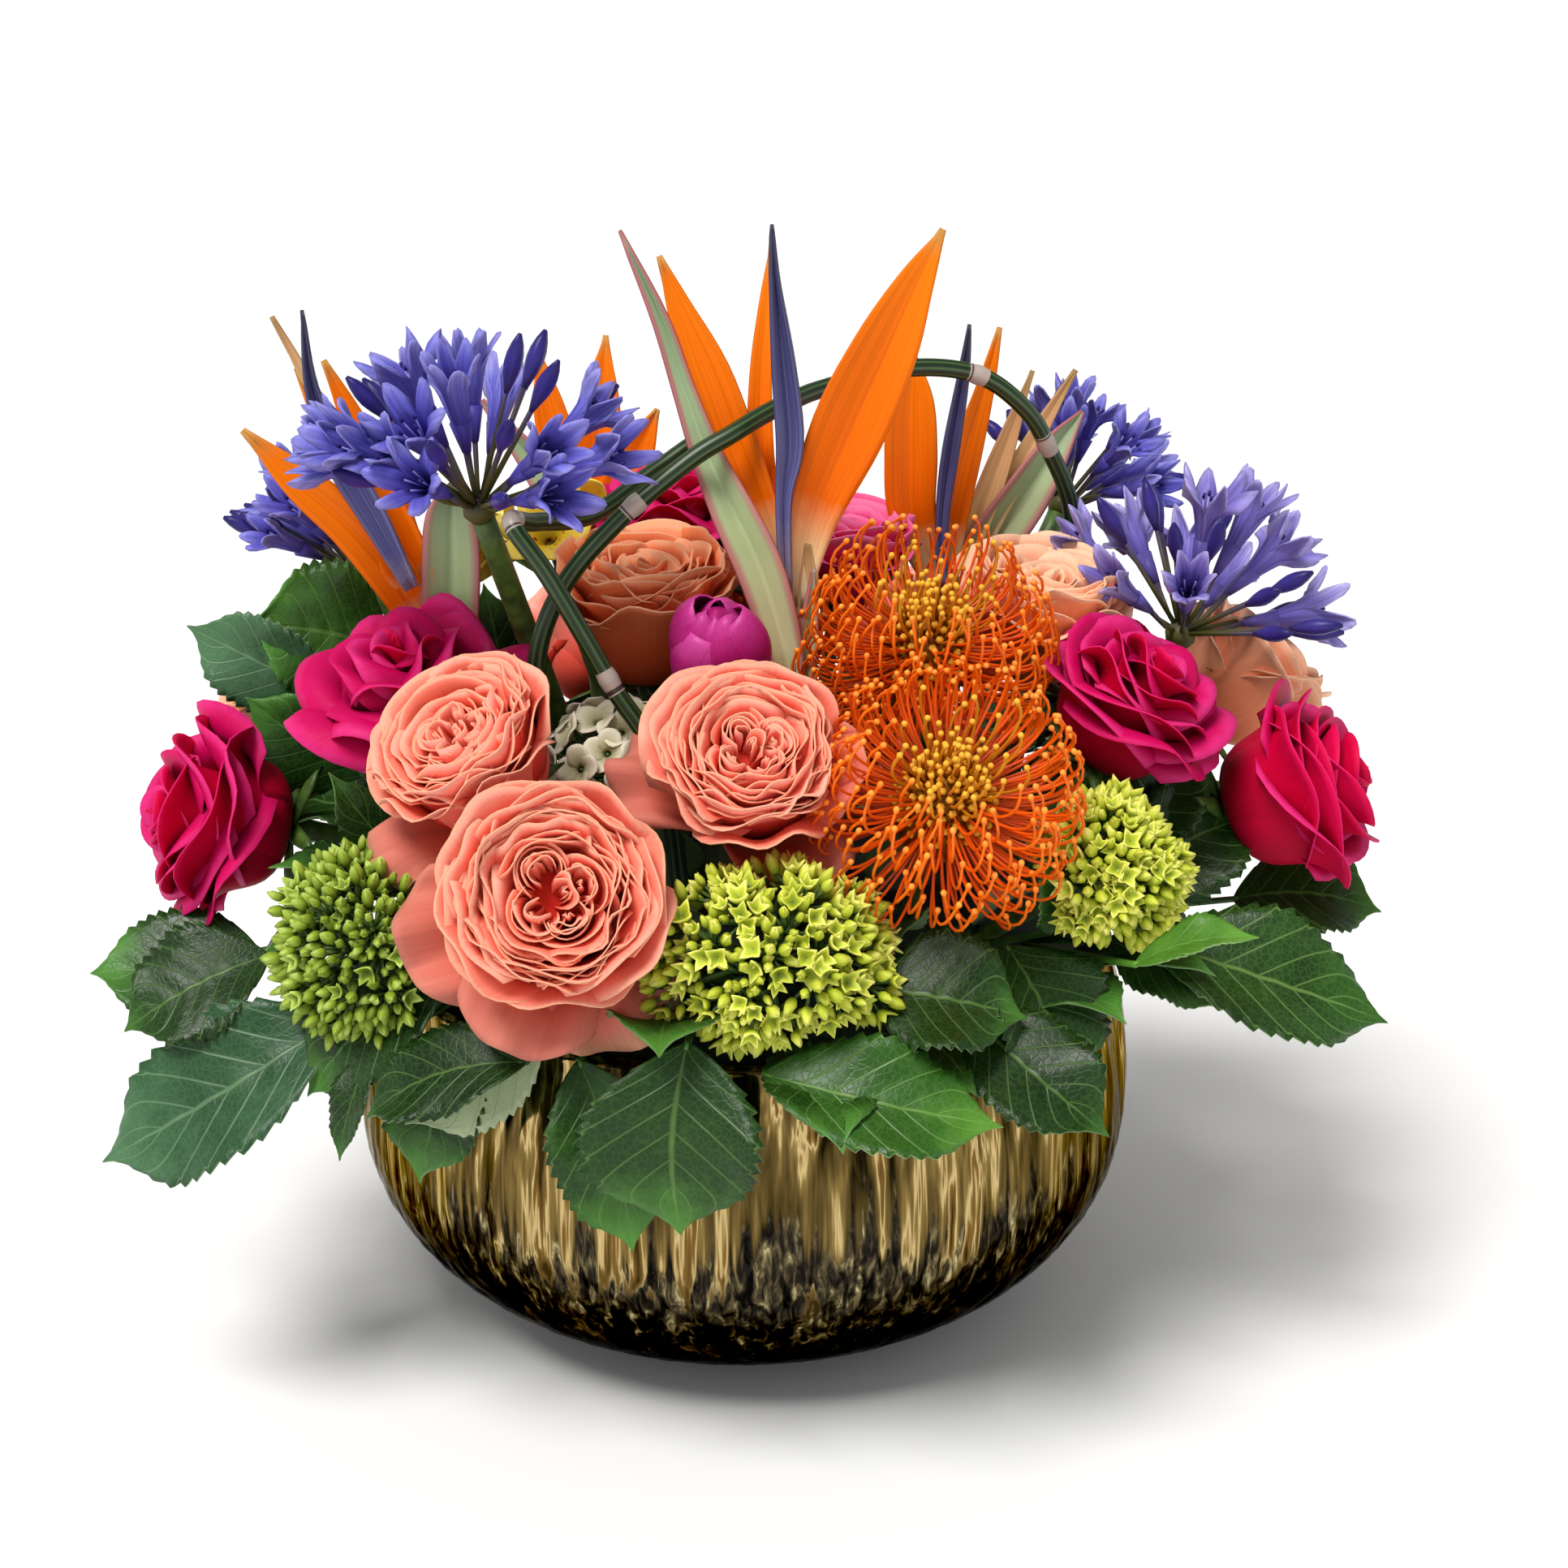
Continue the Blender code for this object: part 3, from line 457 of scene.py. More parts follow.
# Each leaf: root, base of the blade, tip, half width (a little fuller than its solid) and arch, in
# mm. Then its finish and tone, and the way its upper side faces where that isn't up and outwards.
LEAVES = {
    "leaf_front_centre": ((-11, -92, 134), (-13, -139, 140), (-15, -148, 86), 25, 5, dark_leaf, 0.55),
    "leaf_front_under": ((-34, -86, 134), (-44, -128, 130), (-29, -141, 77), 17, 3, dark_leaf, 0.6),
    "leaf_front_left": ((-58, -76, 134), (-77, -110, 134), (-91, -124, 90), 19, 4, dark_leaf, 0.6),
    "leaf_front_left_fold": ((-46, -82, 136), (-58, -136, 133), (-105, -126, 111), 14, 5, dark_leaf, 0.3),
    "leaf_front_right_curl": ((24, -90, 130), (8, -138, 130), (74, -146, 118), 17, 4, fresh_leaf, 0.5),
    "leaf_right_middle": ((34, -86, 134), (36, -119, 148), (82, -124, 141), 20, 4, dark_leaf, 0.4),
    "leaf_right_hanging": ((60, -74, 134), (78, -96, 152), (97, -118, 116), 22, 4, dark_leaf, 0.45),
    "leaf_right_light": ((88, -48, 134), (114, -108, 151), (148, -113, 161), 9, 3, fresh_leaf, 0.8,
                         (0.1, -0.2, 1.0)),
    "leaf_far_right": ((88, -42, 134), (124, -66, 142), (198, -70, 117), 21, 5, fresh_leaf, 0.25,
                       (0.2, -0.7, 0.8)),
    "leaf_far_right_back": ((94, -22, 134), (158, -22, 140), (205, -26, 137), 19, 3, dark_leaf, 0.5,
                            (0.1, -0.6, 0.8)),
    "leaf_left_low": ((-84, -52, 134), (-117, -92, 128), (-191, -94, 82), 23, 6, grey_leaf, 0.6,
                      (-0.2, -0.8, 0.7)),
    "leaf_left_middle": ((-92, -36, 134), (-142, -72, 140), (-184, -84, 120), 19, 4, dark_leaf, 0.4,
                         (-0.2, -0.8, 0.8)),
    "leaf_left_upper": ((-92, -22, 134), (-150, -50, 133), (-202, -54, 127), 18, 2, dark_leaf, 0.6,
                        (-0.1, -0.7, 0.8)),
    "leaf_back_left_rounded": ((-80, 32, 140), (-117, 22, 212), (-160, 6, 224), 23, 3, dark_leaf, 0.7,
                               (-0.2, -1.0, 0.35)),
    "leaf_back_left_light": ((-86, 22, 138), (-134, 9, 198), (-180, 9, 223), 15, 3, grey_leaf, 0.8,
                             (-0.4, -1.0, 0.3)),
    "leaf_back_left_lower": ((-88, 10, 138), (-124, 8, 172), (-160, -2, 202), 16, 3, dark_leaf, 0.6,
                             (-0.3, -1.0, 0.4)),
    "leaf_back_centre": ((18, 92, 134), (22, 140, 138), (26, 150, 84), 23, 5, dark_leaf, 0.6),
    "leaf_back_left": ((-62, 74, 134), (-78, 116, 136), (-74, 146, 90), 22, 5, dark_leaf, 0.5),
    "leaf_back_right": ((74, 66, 134), (98, 104, 136), (98, 130, 92), 22, 5, grey_leaf, 0.4),
}
for number, (name, (root, base, tip, half, arch, finish, tone, *facing)) in enumerate(LEAVES.items()):
    skin = Skin()
    add_leaf(skin, np.array(root) * MM, np.array(base) * MM, np.array(tip) * MM, half * MM, arch * MM,
             100 + number, tone=tone, up=facing[0] if facing else None)
    skin.build(name + "_blade", [finish], "root", "leaf", name)


# ---------------------------------------------------------------------------------------------
# The collar: shorter leaves pushed in all over the foam's top and shoulder until none of it shows,
# so that the blooms sit on a bed of green. They stand close together under the flower heads.

collar = Skin()
dice = np.random.default_rng(7)
for ring, (radius, count, rise, length, tilt) in enumerate((
        (22, 7, 150, 44, 62), (50, 12, 149, 46, 48), (76, 17, 146, 48, 32), (98, 20, 140, 46, 12))):
    for number in range(count):
        turn = 2 * math.pi * (number + 0.5 * ring + dice.uniform(-0.25, 0.25)) / count
        lean = math.radians(tilt + dice.uniform(-14, 14))
        out = np.array([math.cos(turn), math.sin(turn), 0.0])
        start = out * radius * MM + [0, 0, (rise - 12) * MM]
        way = out * math.cos(lean) + np.array([0, 0, math.sin(lean)])
        base = start + way * 18 * MM
        drop = np.array([0, 0, -1]) * (6 + 8 * (ring == 3)) * MM
        tip = base + way * length * dice.uniform(0.85, 1.15) * MM + drop
        add_leaf(collar, start, base, tip, dice.uniform(12, 17) * MM, 4 * MM, 300 + 40 * ring + number,
                 rows=31, columns=7, tone=dice.uniform(0.25, 0.75), up=[-out[0] * 0.4, -out[1] * 0.4, 1],
                 slot=int(dice.uniform() < 0.25))
# Leaves that close one gap each: root, base, tip and half width (mm), finish and facing.
for number, (root, base, tip, half, slot, *facing) in enumerate((
        ((-84, -34, 138), (-98, -52, 158), (-122, -66, 196), 9, 0, (0.5, -1, 0.2)),
        ((-80, -20, 138), (-92, -30, 160), (-108, -40, 208), 19, 0, (0.1, -1, 0.3)),
        ((-70, -30, 138), (-92, -46, 166), (-62, -60, 200), 15, 0, (-0.2, -1, 0.3)),
        ((-60, -70, 134), (-84, -106, 146), (-126, -104, 108), 17, 0, (-0.3, -0.9, 0.6)),
        ((-50, -80, 134), (-54, -128, 139), (-92, -140, 116), 13, 1, (0.3, 0.9, -0.5)),
        ((-72, -70, 134), (-104, -108, 126), (-114, -122, 96), 7, 0),
        ((80, -20, 138), (96, -34, 158), (118, -40, 204), 19, 0, (-0.1, -1, 0.3)),
        ((84, -12, 138), (108, -26, 156), (150, -30, 192), 17, 0, (0.1, -1, 0.5)),
        ((70, -60, 138), (92, -84, 152), (92, -92, 186), 12, 2, (0.6, -1, 0.2)),
        ((88, -40, 134), (112, -64, 142), (146, -76, 124), 15, 0, (0.3, -0.6, 0.9)),
        ((52, -80, 134), (66, -116, 138), (104, -140, 112), 17, 0, (0.2, -0.8, 0.7)),
        ((-66, 14, 140), (-78, 14, 192), (-84, 14, 236), 13, 0, (0, -1, 0.2)),
        ((86, -30, 138), (116, -46, 150), (162, -28, 170), 19, 0, (0, -0.8, 0.6)),
        ((30, 12, 140), (34, 8, 168), (40, 8, 214), 17, 0, (0, -1, 0.2)))):
    add_leaf(collar, *(np.array(place) * MM for place in (root, base, tip)), half * MM, 4 * MM,
             460 + number, tone=0.35 + 0.05 * (number % 5), slot=slot, up=facing[0] if facing else None)
for number in range(15):
    turn = math.radians(-22 + 15.8 * number)
    out = np.array([math.cos(turn), math.sin(turn), 0.0])
    base = out * dice.uniform(104, 114) * MM + [0, 0, dice.uniform(146, 164) * MM]
    tip = out * dice.uniform(146, 164) * MM + [0, 0, dice.uniform(132, 178) * MM]
    tip = tip + np.cross([0, 0, 1], out) * dice.uniform(-18, 18) * MM
    add_leaf(collar, out * 84 * MM + [0, 0, 138 * MM], base, tip, dice.uniform(16, 21) * MM, 4 * MM,
             480 + number, rows=41, columns=9, tone=dice.uniform(0.3, 0.7), slot=number % 5 == 2)
collar.build("collar_of_leaves", [dark_leaf, grey_leaf, fresh_leaf], "root", "leaf")


# ---------------------------------------------------------------------------------------------
# Roses and every other cut flower stand on a green stem cut at a slant and pushed into the foam.
# Florist's roses: broad velvety crimson petals round a tight spiral, their rims rolled back to
# soft points. Garden roses: a deep cup packed with short ruffled petals folded into quarters.

# Green stem: a smooth waxy skin, half gloss, a little lighter in places.
green_stem, tree, shader = new_finish("waxy_green_stem")
place = add_node(tree, "ShaderNodeTexCoord").outputs["Object"]
cloud = add_node(tree, "ShaderNodeTexNoise", inputs={"Vector": place, "Scale": 1 / (5 * MM), "Detail": 3.0})
stem_tone = add_node(tree, "ShaderNodeValToRGB", inputs={"Fac": cloud.outputs["Fac"]}, stops=[
    (0.3, "#2c4416"), (0.6, "#4c6a26"), (0.8, "#6d8838")])
tree.links.new(stem_tone.outputs[0], shader.inputs["Base Color"])
shader.inputs["Roughness"].default_value = 0.45

PETAL_SHEET = 0.45 * MM
STEM_RADIUS = 2.8 * MM
THIN_STEM_RADIUS = 2.4 * MM


def petal_finish(name, stops, back=None, rim=None, rough=0.55, vein=0.07, veins=30.0, shine=0.2,
                 spread=0.16):
    """Petal skin: a soft sheen over a colour that runs from throat to rim, with fine lengthwise veins. The
    darkening towards the throat is partly painted shade deep in the bloom, and the paling at the rim partly
    painted highlight.
    """
    made, tree, shader = new_finish(name)
    reach, across, tone, face = skin_values(tree)
    place = add_node(tree, "ShaderNodeTexCoord").outputs["Object"]
    cloud = add_node(tree, "ShaderNodeTexNoise", inputs={
        "Vector": place, "Scale": 1 / (7 * MM), "Detail": 4.0, "Roughness": 0.6}).outputs["Fac"]
    shift = add_node(tree, "ShaderNodeMath", {"operation": "ADD"}, {0: cloud, 1: tone}).outputs[0]
    shift = add_node(tree, "ShaderNodeMath", {"operation": "MULTIPLY_ADD"},
                     {0: shift, 1: spread, 2: -spread}).outputs[0]
    along = add_node(tree, "ShaderNodeMath", {"operation": "ADD"}, {0: reach, 1: shift}).outputs[0]
    # The ramp darkens towards the throat, partly as painted shade deep in the bloom, and pales towards the
    # rim, partly as painted highlight.
    body = add_node(tree, "ShaderNodeValToRGB", inputs={"Fac": along}, stops=stops).outputs[0]
    if back:
        behind = add_node(tree, "ShaderNodeValToRGB", inputs={"Fac": along}, stops=back).outputs[0]
        body = add_node(tree, "ShaderNodeMix", {"data_type": "RGBA"},
                        {0: face, 6: body, 7: behind}).outputs[2]
    # rim paints the very edge paler: partly the petal's own pale edge, partly painted highlight on the rims.
    if rim:
        edge = add_node(tree, "ShaderNodeMapRange", {"interpolation_type": "SMOOTHSTEP"},
                        {"Value": reach, "From Min": 0.975, "From Max": 1.0}).outputs[0]
        body = add_node(tree, "ShaderNodeMix", {"data_type": "RGBA"},
                        {0: edge, 6: body, 7: linear(rim)}).outputs[2]
    stripe = add_node(tree, "ShaderNodeCombineXYZ", inputs={"X": across, "Y": tone}).outputs[0]
    lines = add_node(tree, "ShaderNodeTexNoise", inputs={
        "Vector": stripe, "Scale": veins, "Detail": 2.0}).outputs["Fac"]
    shade = add_node(tree, "ShaderNodeMapRange", inputs={
        "Value": lines, "From Min": 0.35, "From Max": 0.65, "To Min": 1.0 - vein, "To Max": 1.0}).outputs[0]
    skin = add_node(tree, "ShaderNodeMix", {"data_type": "RGBA", "blend_type": "MULTIPLY"},
                    {0: 1.0, 6: body, 7: shade}).outputs[2]
    tree.links.new(skin, shader.inputs["Base Color"])
    shader.inputs["Roughness"].default_value = rough
    shader.inputs["Specular IOR Level"].default_value = shine
    return made


# In each ramp the first stops are dark partly as painted shade in the throat, and the last stops and rim
# colours pale partly as painted highlight.
crimson_petal = petal_finish("velvet_crimson_petal",
    [(0.0, "#6c0016"), (0.45, "#b0002c"), (0.85, "#cc003a"), (1.0, "#dc0c50")],
    back=[(0.0, "#6c0236"), (0.5, "#a00244"), (0.9, "#c8085a"), (1.0, "#d82c78")], shine=0.1)
coral_petal = petal_finish("silk_coral_petal",
    [(0.0, "#cc2c1c"), (0.4, "#f05c4c"), (0.75, "#f98878"), (1.0, "#fdb2a2")],
    back=[(0.0, "#cc5c30"), (0.5, "#e86a4c"), (0.9, "#f48670"), (1.0, "#fbae98")], rim="#f6ac8c", shine=0.12)
dusty_petal = petal_finish("silk_dusty_coral_petal",
    [(0.0, "#c84c3c"), (0.5, "#dc7064"), (0.85, "#d87c74"), (1.0, "#c88878")],
    back=[(0.0, "#c4643c"), (0.5, "#cc6450"), (0.9, "#cc7868"), (1.0, "#c08468")], shine=0.12)
peach_petal = petal_finish("silk_peach_petal",
    [(0.0, "#b4401c"), (0.5, "#e06438"), (0.85, "#f28454"), (1.0, "#f8a074")],
    back=[(0.0, "#a83c24"), (0.5, "#d45c38"), (0.9, "#f08454"), (1.0, "#f8a87c")], rim="#f8b48c", shine=0.12)
# A paler copy of the peach petal, its back lighter than its inner side: partly these roses' own paler colour,
# partly painted light on backs that sit in shade.
apricot_and_painted_light_petal = petal_finish("silk_apricot_and_painted_light_petal",
    [(0.0, "#c8603c"), (0.5, "#ee8e66"), (0.85, "#f8ac86"), (1.0, "#fcc8a8")],
    back=[(0.0, "#dc7c50"), (0.5, "#f5a47c"), (0.9, "#fbbc98"), (1.0, "#fdd0b0")], rim="#fac8a4", shine=0.12)
spray_petal = petal_finish("silk_spray_pink_petal",
    [(0.0, "#a00838"), (0.5, "#d41e60"), (0.85, "#ea4484"), (1.0, "#f078a8")], shine=0.1)
magenta_petal = petal_finish("satin_magenta_petal",
    [(0.0, "#780634"), (0.4, "#981050"), (0.8, "#b01c74"), (1.0, "#cc4498")], rough=0.4, vein=0.2)


def petal(length, width, start, leans, azimuth, rows=9, columns=9, drop=0.28, roll=0.0, ruffle=0.0,
          waves=3.0, phase=0.0, hug=1.0, narrow=0.35, swing=0.0, blunt=2.6):
    """A petal's grid round a local +Z axis, in units of the bloom.

    It starts at radius and height start and leans off the axis by three angles in turn, at its base,
    middle and rim. roll leans the edges of its rim further out, drop rounds its end, and ruffle waves it.
    """
    t = np.linspace(0, 1, rows)[:, None]
    s = np.linspace(-1, 1, columns)[None, :]
    low, middle, high = (math.radians(a) for a in leans)
    rim = high + math.radians(roll) * np.abs(s) ** 1.5
    lean = low + (middle - low) * smooth(t / 0.5) + (rim - middle) * smooth((t - 0.5) / 0.5)
    step = length * (1 - drop * np.abs(s) ** blunt) / (rows - 1)
    lean_between = (lean[1:] + lean[:-1]) / 2
    zeros = np.zeros((1, columns))
    radius = start[0] + np.concatenate([zeros, np.cumsum(np.sin(lean_between) * step, axis=0)])
    height = start[1] + np.concatenate([zeros, np.cumsum(np.cos(lean_between) * step, axis=0)])
    wave = ruffle * t**2 * (np.sin(waves * math.pi * s + phase) + 0.5 * np.sin(2.3 * waves * s - 2 * phase))
    wave = wave + 0.7 * ruffle * np.sin(3.5 * t + phase) * np.cos(1.6 * s + 1.7 * phase) * t
    radius = radius + wave * np.cos(lean)
    height = height - wave * np.sin(lean)
    half = width * (narrow + (1 - narrow) * smooth(t / 0.6))
    wrap = half / np.maximum(radius * hug + (1 - hug) * 0.8, 0.03)
    angle = azimuth + s * np.minimum(wrap, 2.6) + swing * t
    return np.stack([radius * np.cos(angle), radius * np.sin(angle), height], axis=-1)


def bloom_frame(node, ratio, top_share=1.0):
    """Reads a bloom's place from its turned solid.

    Gives the bloom's base, three axes as columns, its radius and height, and its stem's foot. ratio is
    height over radius, and top_share how much of that height stands below the solid's top.
    """
    points = np.array([v.co[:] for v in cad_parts[node].data.vertices])
    middle = points.mean(axis=0)
    far = points[np.argmax(np.linalg.norm(points - middle, axis=1))]
    foot = points[np.linalg.norm(points - far, axis=1) < 7.0 * MM].mean(axis=0)
    axis = unit(middle - foot)
    along = (points - foot) @ axis
    radial = np.linalg.norm(points - foot - along[:, None] * axis, axis=1)
    radius = radial.max()
    height = radius * ratio
    base = foot + axis * (along.max() - height * top_share)
    side = unit(np.cross([0.0, 0.0, 1.0], axis))
    axes = np.stack([side, np.cross(axis, side), axis], axis=1)
    return base, axes, radius, height, foot


def add_stem(skin, base, axes, foot, radius, slot, seed):
    """The stem from foot to bloom, with a small swelling under the bloom."""
    dice = np.random.default_rng(seed)
    shares = np.linspace(0, 1, 9)
    bend = np.sin(shares * math.pi)[:, None] * axes[:, 0] * dice.uniform(-1.5, 1.5) * MM
    path = foot + (base - foot) * shares[:, None] + bend
    skin.tube(path, radius * np.array([1, 1, 0.97, 0.95, 0.95, 0.95, 1, 1.2, 1.7]), 0.5, 10, slot)


def add_sepals(skin, base, axes, size, slot, seed, count=5):
    """The five green sepals that lie back under a rose."""
    dice = np.random.default_rng(seed)
    for number in range(count):
        grid = petal(0.75, 0.13, (0.1, -0.03), (80, 100, 130), 2 * math.pi * number / count, 7, 5,
                     drop=0.9, blunt=1.3, phase=dice.uniform(0, 6))
        skin.sheet(base + grid * size @ axes.T, 0.5, 0.6 * MM, slot)


def add_core(skin, base, axes, size, profile, reach, slot=0, sides=14):
    """A closed turned body inside a bloom, that fills the middle. profile is (radius, height) in sizes."""
    turn = np.linspace(0, 2 * math.pi, sides, endpoint=False)
    grid = [np.stack([r * np.cos(turn), r * np.sin(turn), z + 0 * turn], axis=-1) for r, z in profile]
    skin.patch(base + np.array(grid) * size @ axes.T, (reach, 0.0, 0.3, 0.0), slot, closed=True)


def turn_of(dice, number, count, shift, slack):
    """How far round the bloom one of count petals stands."""
    return 2 * math.pi * (number + shift) / count + dice.uniform(-slack, slack)


def florist_rose(node, seed, openness):
    """openness leans the petals out: below 1 the flower is half closed, above it full blown."""
    dice = np.random.default_rng(seed)
    base, axes, radius, height, foot = bloom_frame(node, 44 / 28, 0.98)
    tall = height / radius
    skin = Skin()
    rings = (  # count, start radius and height, length, half width, leans, roll, drop, ruffle, hug
        (2, 0.03, 0.34, 0.60, 0.34, (0, -8, 6), 6, 0.15, 0.02, 1.0),
        (3, 0.07, 0.28, 0.66, 0.46, (10, -4, 24), 24, 0.20, 0.03, 1.0),
        (3, 0.11, 0.21, 0.74, 0.62, (24, -2, 40), 36, 0.22, 0.04, 1.0),
        (4, 0.15, 0.14, 0.81, 0.78, (42, 1, 50), 40, 0.24, 0.05, 1.0),
        (4, 0.18, 0.08, 0.87, 0.92, (58, 3, 62), 42, 0.26, 0.065, 1.0),
        (4, 0.20, 0.04, 0.94, 1.02, (74, 7, 72), 42, 0.28, 0.08, 1.0),
        (4, 0.18, 0.01, 0.98, 1.08, (86, 14, 84), 38, 0.30, 0.10, 0.95))
    for ring, (count, r0, z0, length, width, leans, roll, drop, ruffle, hug) in enumerate(rings):
        for number in range(count):
            turn = turn_of(dice, number, count, 0.41 * ring, 0.28)
            jitter = dice.uniform(-9, 9) * (ring > 1)
            lean = (leans[0], leans[1] * openness + jitter * 0.2, leans[2] * openness + jitter)
            broad = width * dice.uniform(0.9, 1.1) * (1.35 - 0.3 * openness)
            curl = roll * dice.uniform(0.6, 1.3) * openness ** (3 if ring < 5 else 1)
            grid = petal(length * tall * dice.uniform(0.92, 1.05), broad, (r0, z0 * tall), lean, turn,
                         14, 17, drop, curl, ruffle * openness**1.5, dice.uniform(0.8, 2.2),
                         dice.uniform(0, 6.3), hug, blunt=1.9, swing=dice.uniform(-0.1, 0.25))
            skin.sheet(base + grid * radius @ axes.T, dice.uniform(0, 1), PETAL_SHEET)
    add_core(skin, base, axes, radius, [(0.02, 0.1), (0.16, 0.3 * tall), (0.15, 0.6 * tall),
                                        (0.02, 0.72 * tall)], 0.15)
    add_sepals(skin, base, axes, radius, 1, seed)
    add_stem(skin, base, axes, foot, STEM_RADIUS, 1, seed)
    skin.build(node + "_bloom", [crimson_petal, green_stem], "root", "hot_pink_rose", node)


for number, (place_name, openness) in enumerate((
        ("far_left", 1.0), ("left", 1.25), ("right", 1.0), ("far_right", 0.7), ("back", 1.2),
        ("back_left", 1.0), ("back_right", 1.1))):
    florist_rose("hot_pink_rose_" + place_name, 500 + number, openness)


def garden_rose(node, finish, slot_name, ratio, top_share, seed, guard=(), quarters=True,
                stem=STEM_RADIUS, packing=1.0):
    """An old-fashioned cup. guard lists the turns (degrees) of the petals that hang down, quarters
    folds the middle in four, and packing below 1 leaves the petals further apart.
    """
    dice = np.random.default_rng(seed)
    base, axes, radius, height, foot = bloom_frame(node, ratio, top_share)
    tall = height / radius
    skin = Skin()

    def lay(grid, slot=0):
        skin.sheet(base + grid * radius @ axes.T, dice.uniform(0, 1), PETAL_SHEET * 0.9, slot)

    outer = (  # count, start radius and height, length, half width, leans, roll, drop, ruffle
        (5, 0.22, 0.10, 1.02, 0.74, (74, 0, 10), 14, 0.16, 0.03),
        (6, 0.20, 0.06, 1.06, 0.76, (80, 4, 26), 20, 0.18, 0.045),
        (5, 0.18, 0.02, 1.08, 0.84, (86, 9, 44), 26, 0.20, 0.06))
    for ring, (count, r0, z0, length, width, leans, roll, drop, ruffle) in enumerate(outer):
        for number in range(count):
            turn = turn_of(dice, number, count, 0.43 * ring, 0.25)
            lay(petal(length * tall * dice.uniform(0.92, 1.04), width * dice.uniform(0.85, 1.1), (r0, z0),
                      (leans[0], leans[1] + dice.uniform(-4, 6), leans[2] + dice.uniform(-14, 18)),
                      turn, 14, 17, drop, roll * dice.uniform(0.4, 1.6), ruffle,
                      dice.uniform(1.2, 2.8), dice.uniform(0, 6.3), 0.95, blunt=2.4))
    for turn in guard:
        leans = (88, 46 + dice.uniform(-6, 12), 96 + dice.uniform(-20, 20))
        lay(petal(0.98 * tall, 0.70, (0.16, -0.02), leans, math.radians(turn), 18, 21, 0.22, 20, 0.11,
                  2.6, dice.uniform(0, 6.3), 0.9), 2)
    outer_edge, inner_edge = 0.84, 0.44 if quarters else 0.08
    ring_radii = np.linspace(outer_edge, inner_edge, int((7 if quarters else 10) * packing))
    for ring, ring_radius in enumerate(ring_radii):
        count = max(3, int(round(5.5 * ring_radius * packing + 2)))
        dip = 0.16 * (outer_edge - ring_radius)
        rim_height = tall * (0.90 + 0.025 * math.cos(ring * 1.7)) - dip
        for number in range(count):
            turn = turn_of(dice, number, count, 0.37 * ring, 0.3)
            length = 0.6 * tall * dice.uniform(0.88, 1.08)
            start = (ring_radius * 0.86, rim_height - length * 0.95)
            lay(petal(length, 0.60 * dice.uniform(0.75, 1.2), start,
                      (6, 4 + dice.uniform(-5, 5), 14 + dice.uniform(-26, 34)), turn, 8, 15,
                      0.16, 24, 0.04, dice.uniform(1.2, 2.6), dice.uniform(0, 6.3), 1.0, narrow=0.85))
    for quarter in range(5 if quarters else 0):
        turn = 2 * math.pi * quarter / 4 + dice.uniform(-0.3, 0.3) + 0.5
        off = np.array([math.cos(turn), math.sin(turn), 0.0]) * dice.uniform(0.19, 0.23) * (quarter < 4)
        fold_radii = (0.03, 0.07, 0.11, 0.15, 0.19, 0.22) if quarter < 4 else (0.025, 0.06, 0.095)
        for fold, fold_radius in enumerate(fold_radii):
            rim_height = tall * 0.84 - 0.03 * abs(fold - 2) + dice.uniform(-0.03, 0.03)
            length = 0.5 * tall
            grid = petal(length, fold_radius * 2.3, (fold_radius, rim_height - length * 0.96),
                         (0, 2, dice.uniform(-16, 22)), turn + dice.uniform(-0.4, 0.4), 7, 15, 0.10,
                         8, 0.018, dice.uniform(1.2, 2.2), dice.uniform(0, 6.3), 1.0, narrow=0.95)
            lay(grid + off)
    add_core(skin, base, axes, radius, [(0.05, 0.15), (0.5, 0.3 * tall), (0.55, 0.56 * tall),
                                        (0.3, 0.60 * tall), (0.005, 0.61 * tall)], 0.05, sides=18)
    add_sepals(skin, base, axes, radius * 0.9, 1, seed)
    add_stem(skin, base, axes, foot, stem, 1, seed)
    skin.build(node + "_bloom", [finish, green_stem, dusty_petal], "root", slot_name, node)


for number, (place_name, guard) in enumerate((
        ("front", (-165, -108, -62)), ("left", (-120,)), ("middle", (170, -60)), ("back_right", (-90,)),
        ("back_left", (-90,)))):
    garden_rose("coral_rose_" + place_name, coral_petal, "coral_rose", 42 / 28, 0.96, 600 + number, guard)
for number, (place_name, finish) in enumerate((
        ("left", peach_petal), ("right", apricot_and_painted_light_petal), ("far_right", apricot_and_painted_light_petal),
        ("far_left", apricot_and_painted_light_petal))):
    garden_rose("peach_rose_" + place_name, finish, "peach_rose", 46 / 28, 0.96, 620 + number,
                quarters=False, packing=0.8)
garden_rose("pink_spray_rose", spray_petal, "pink_spray_rose", 34 / 23, 0.98, 640, quarters=False,
            stem=THIN_STEM_RADIUS, packing=0.7)


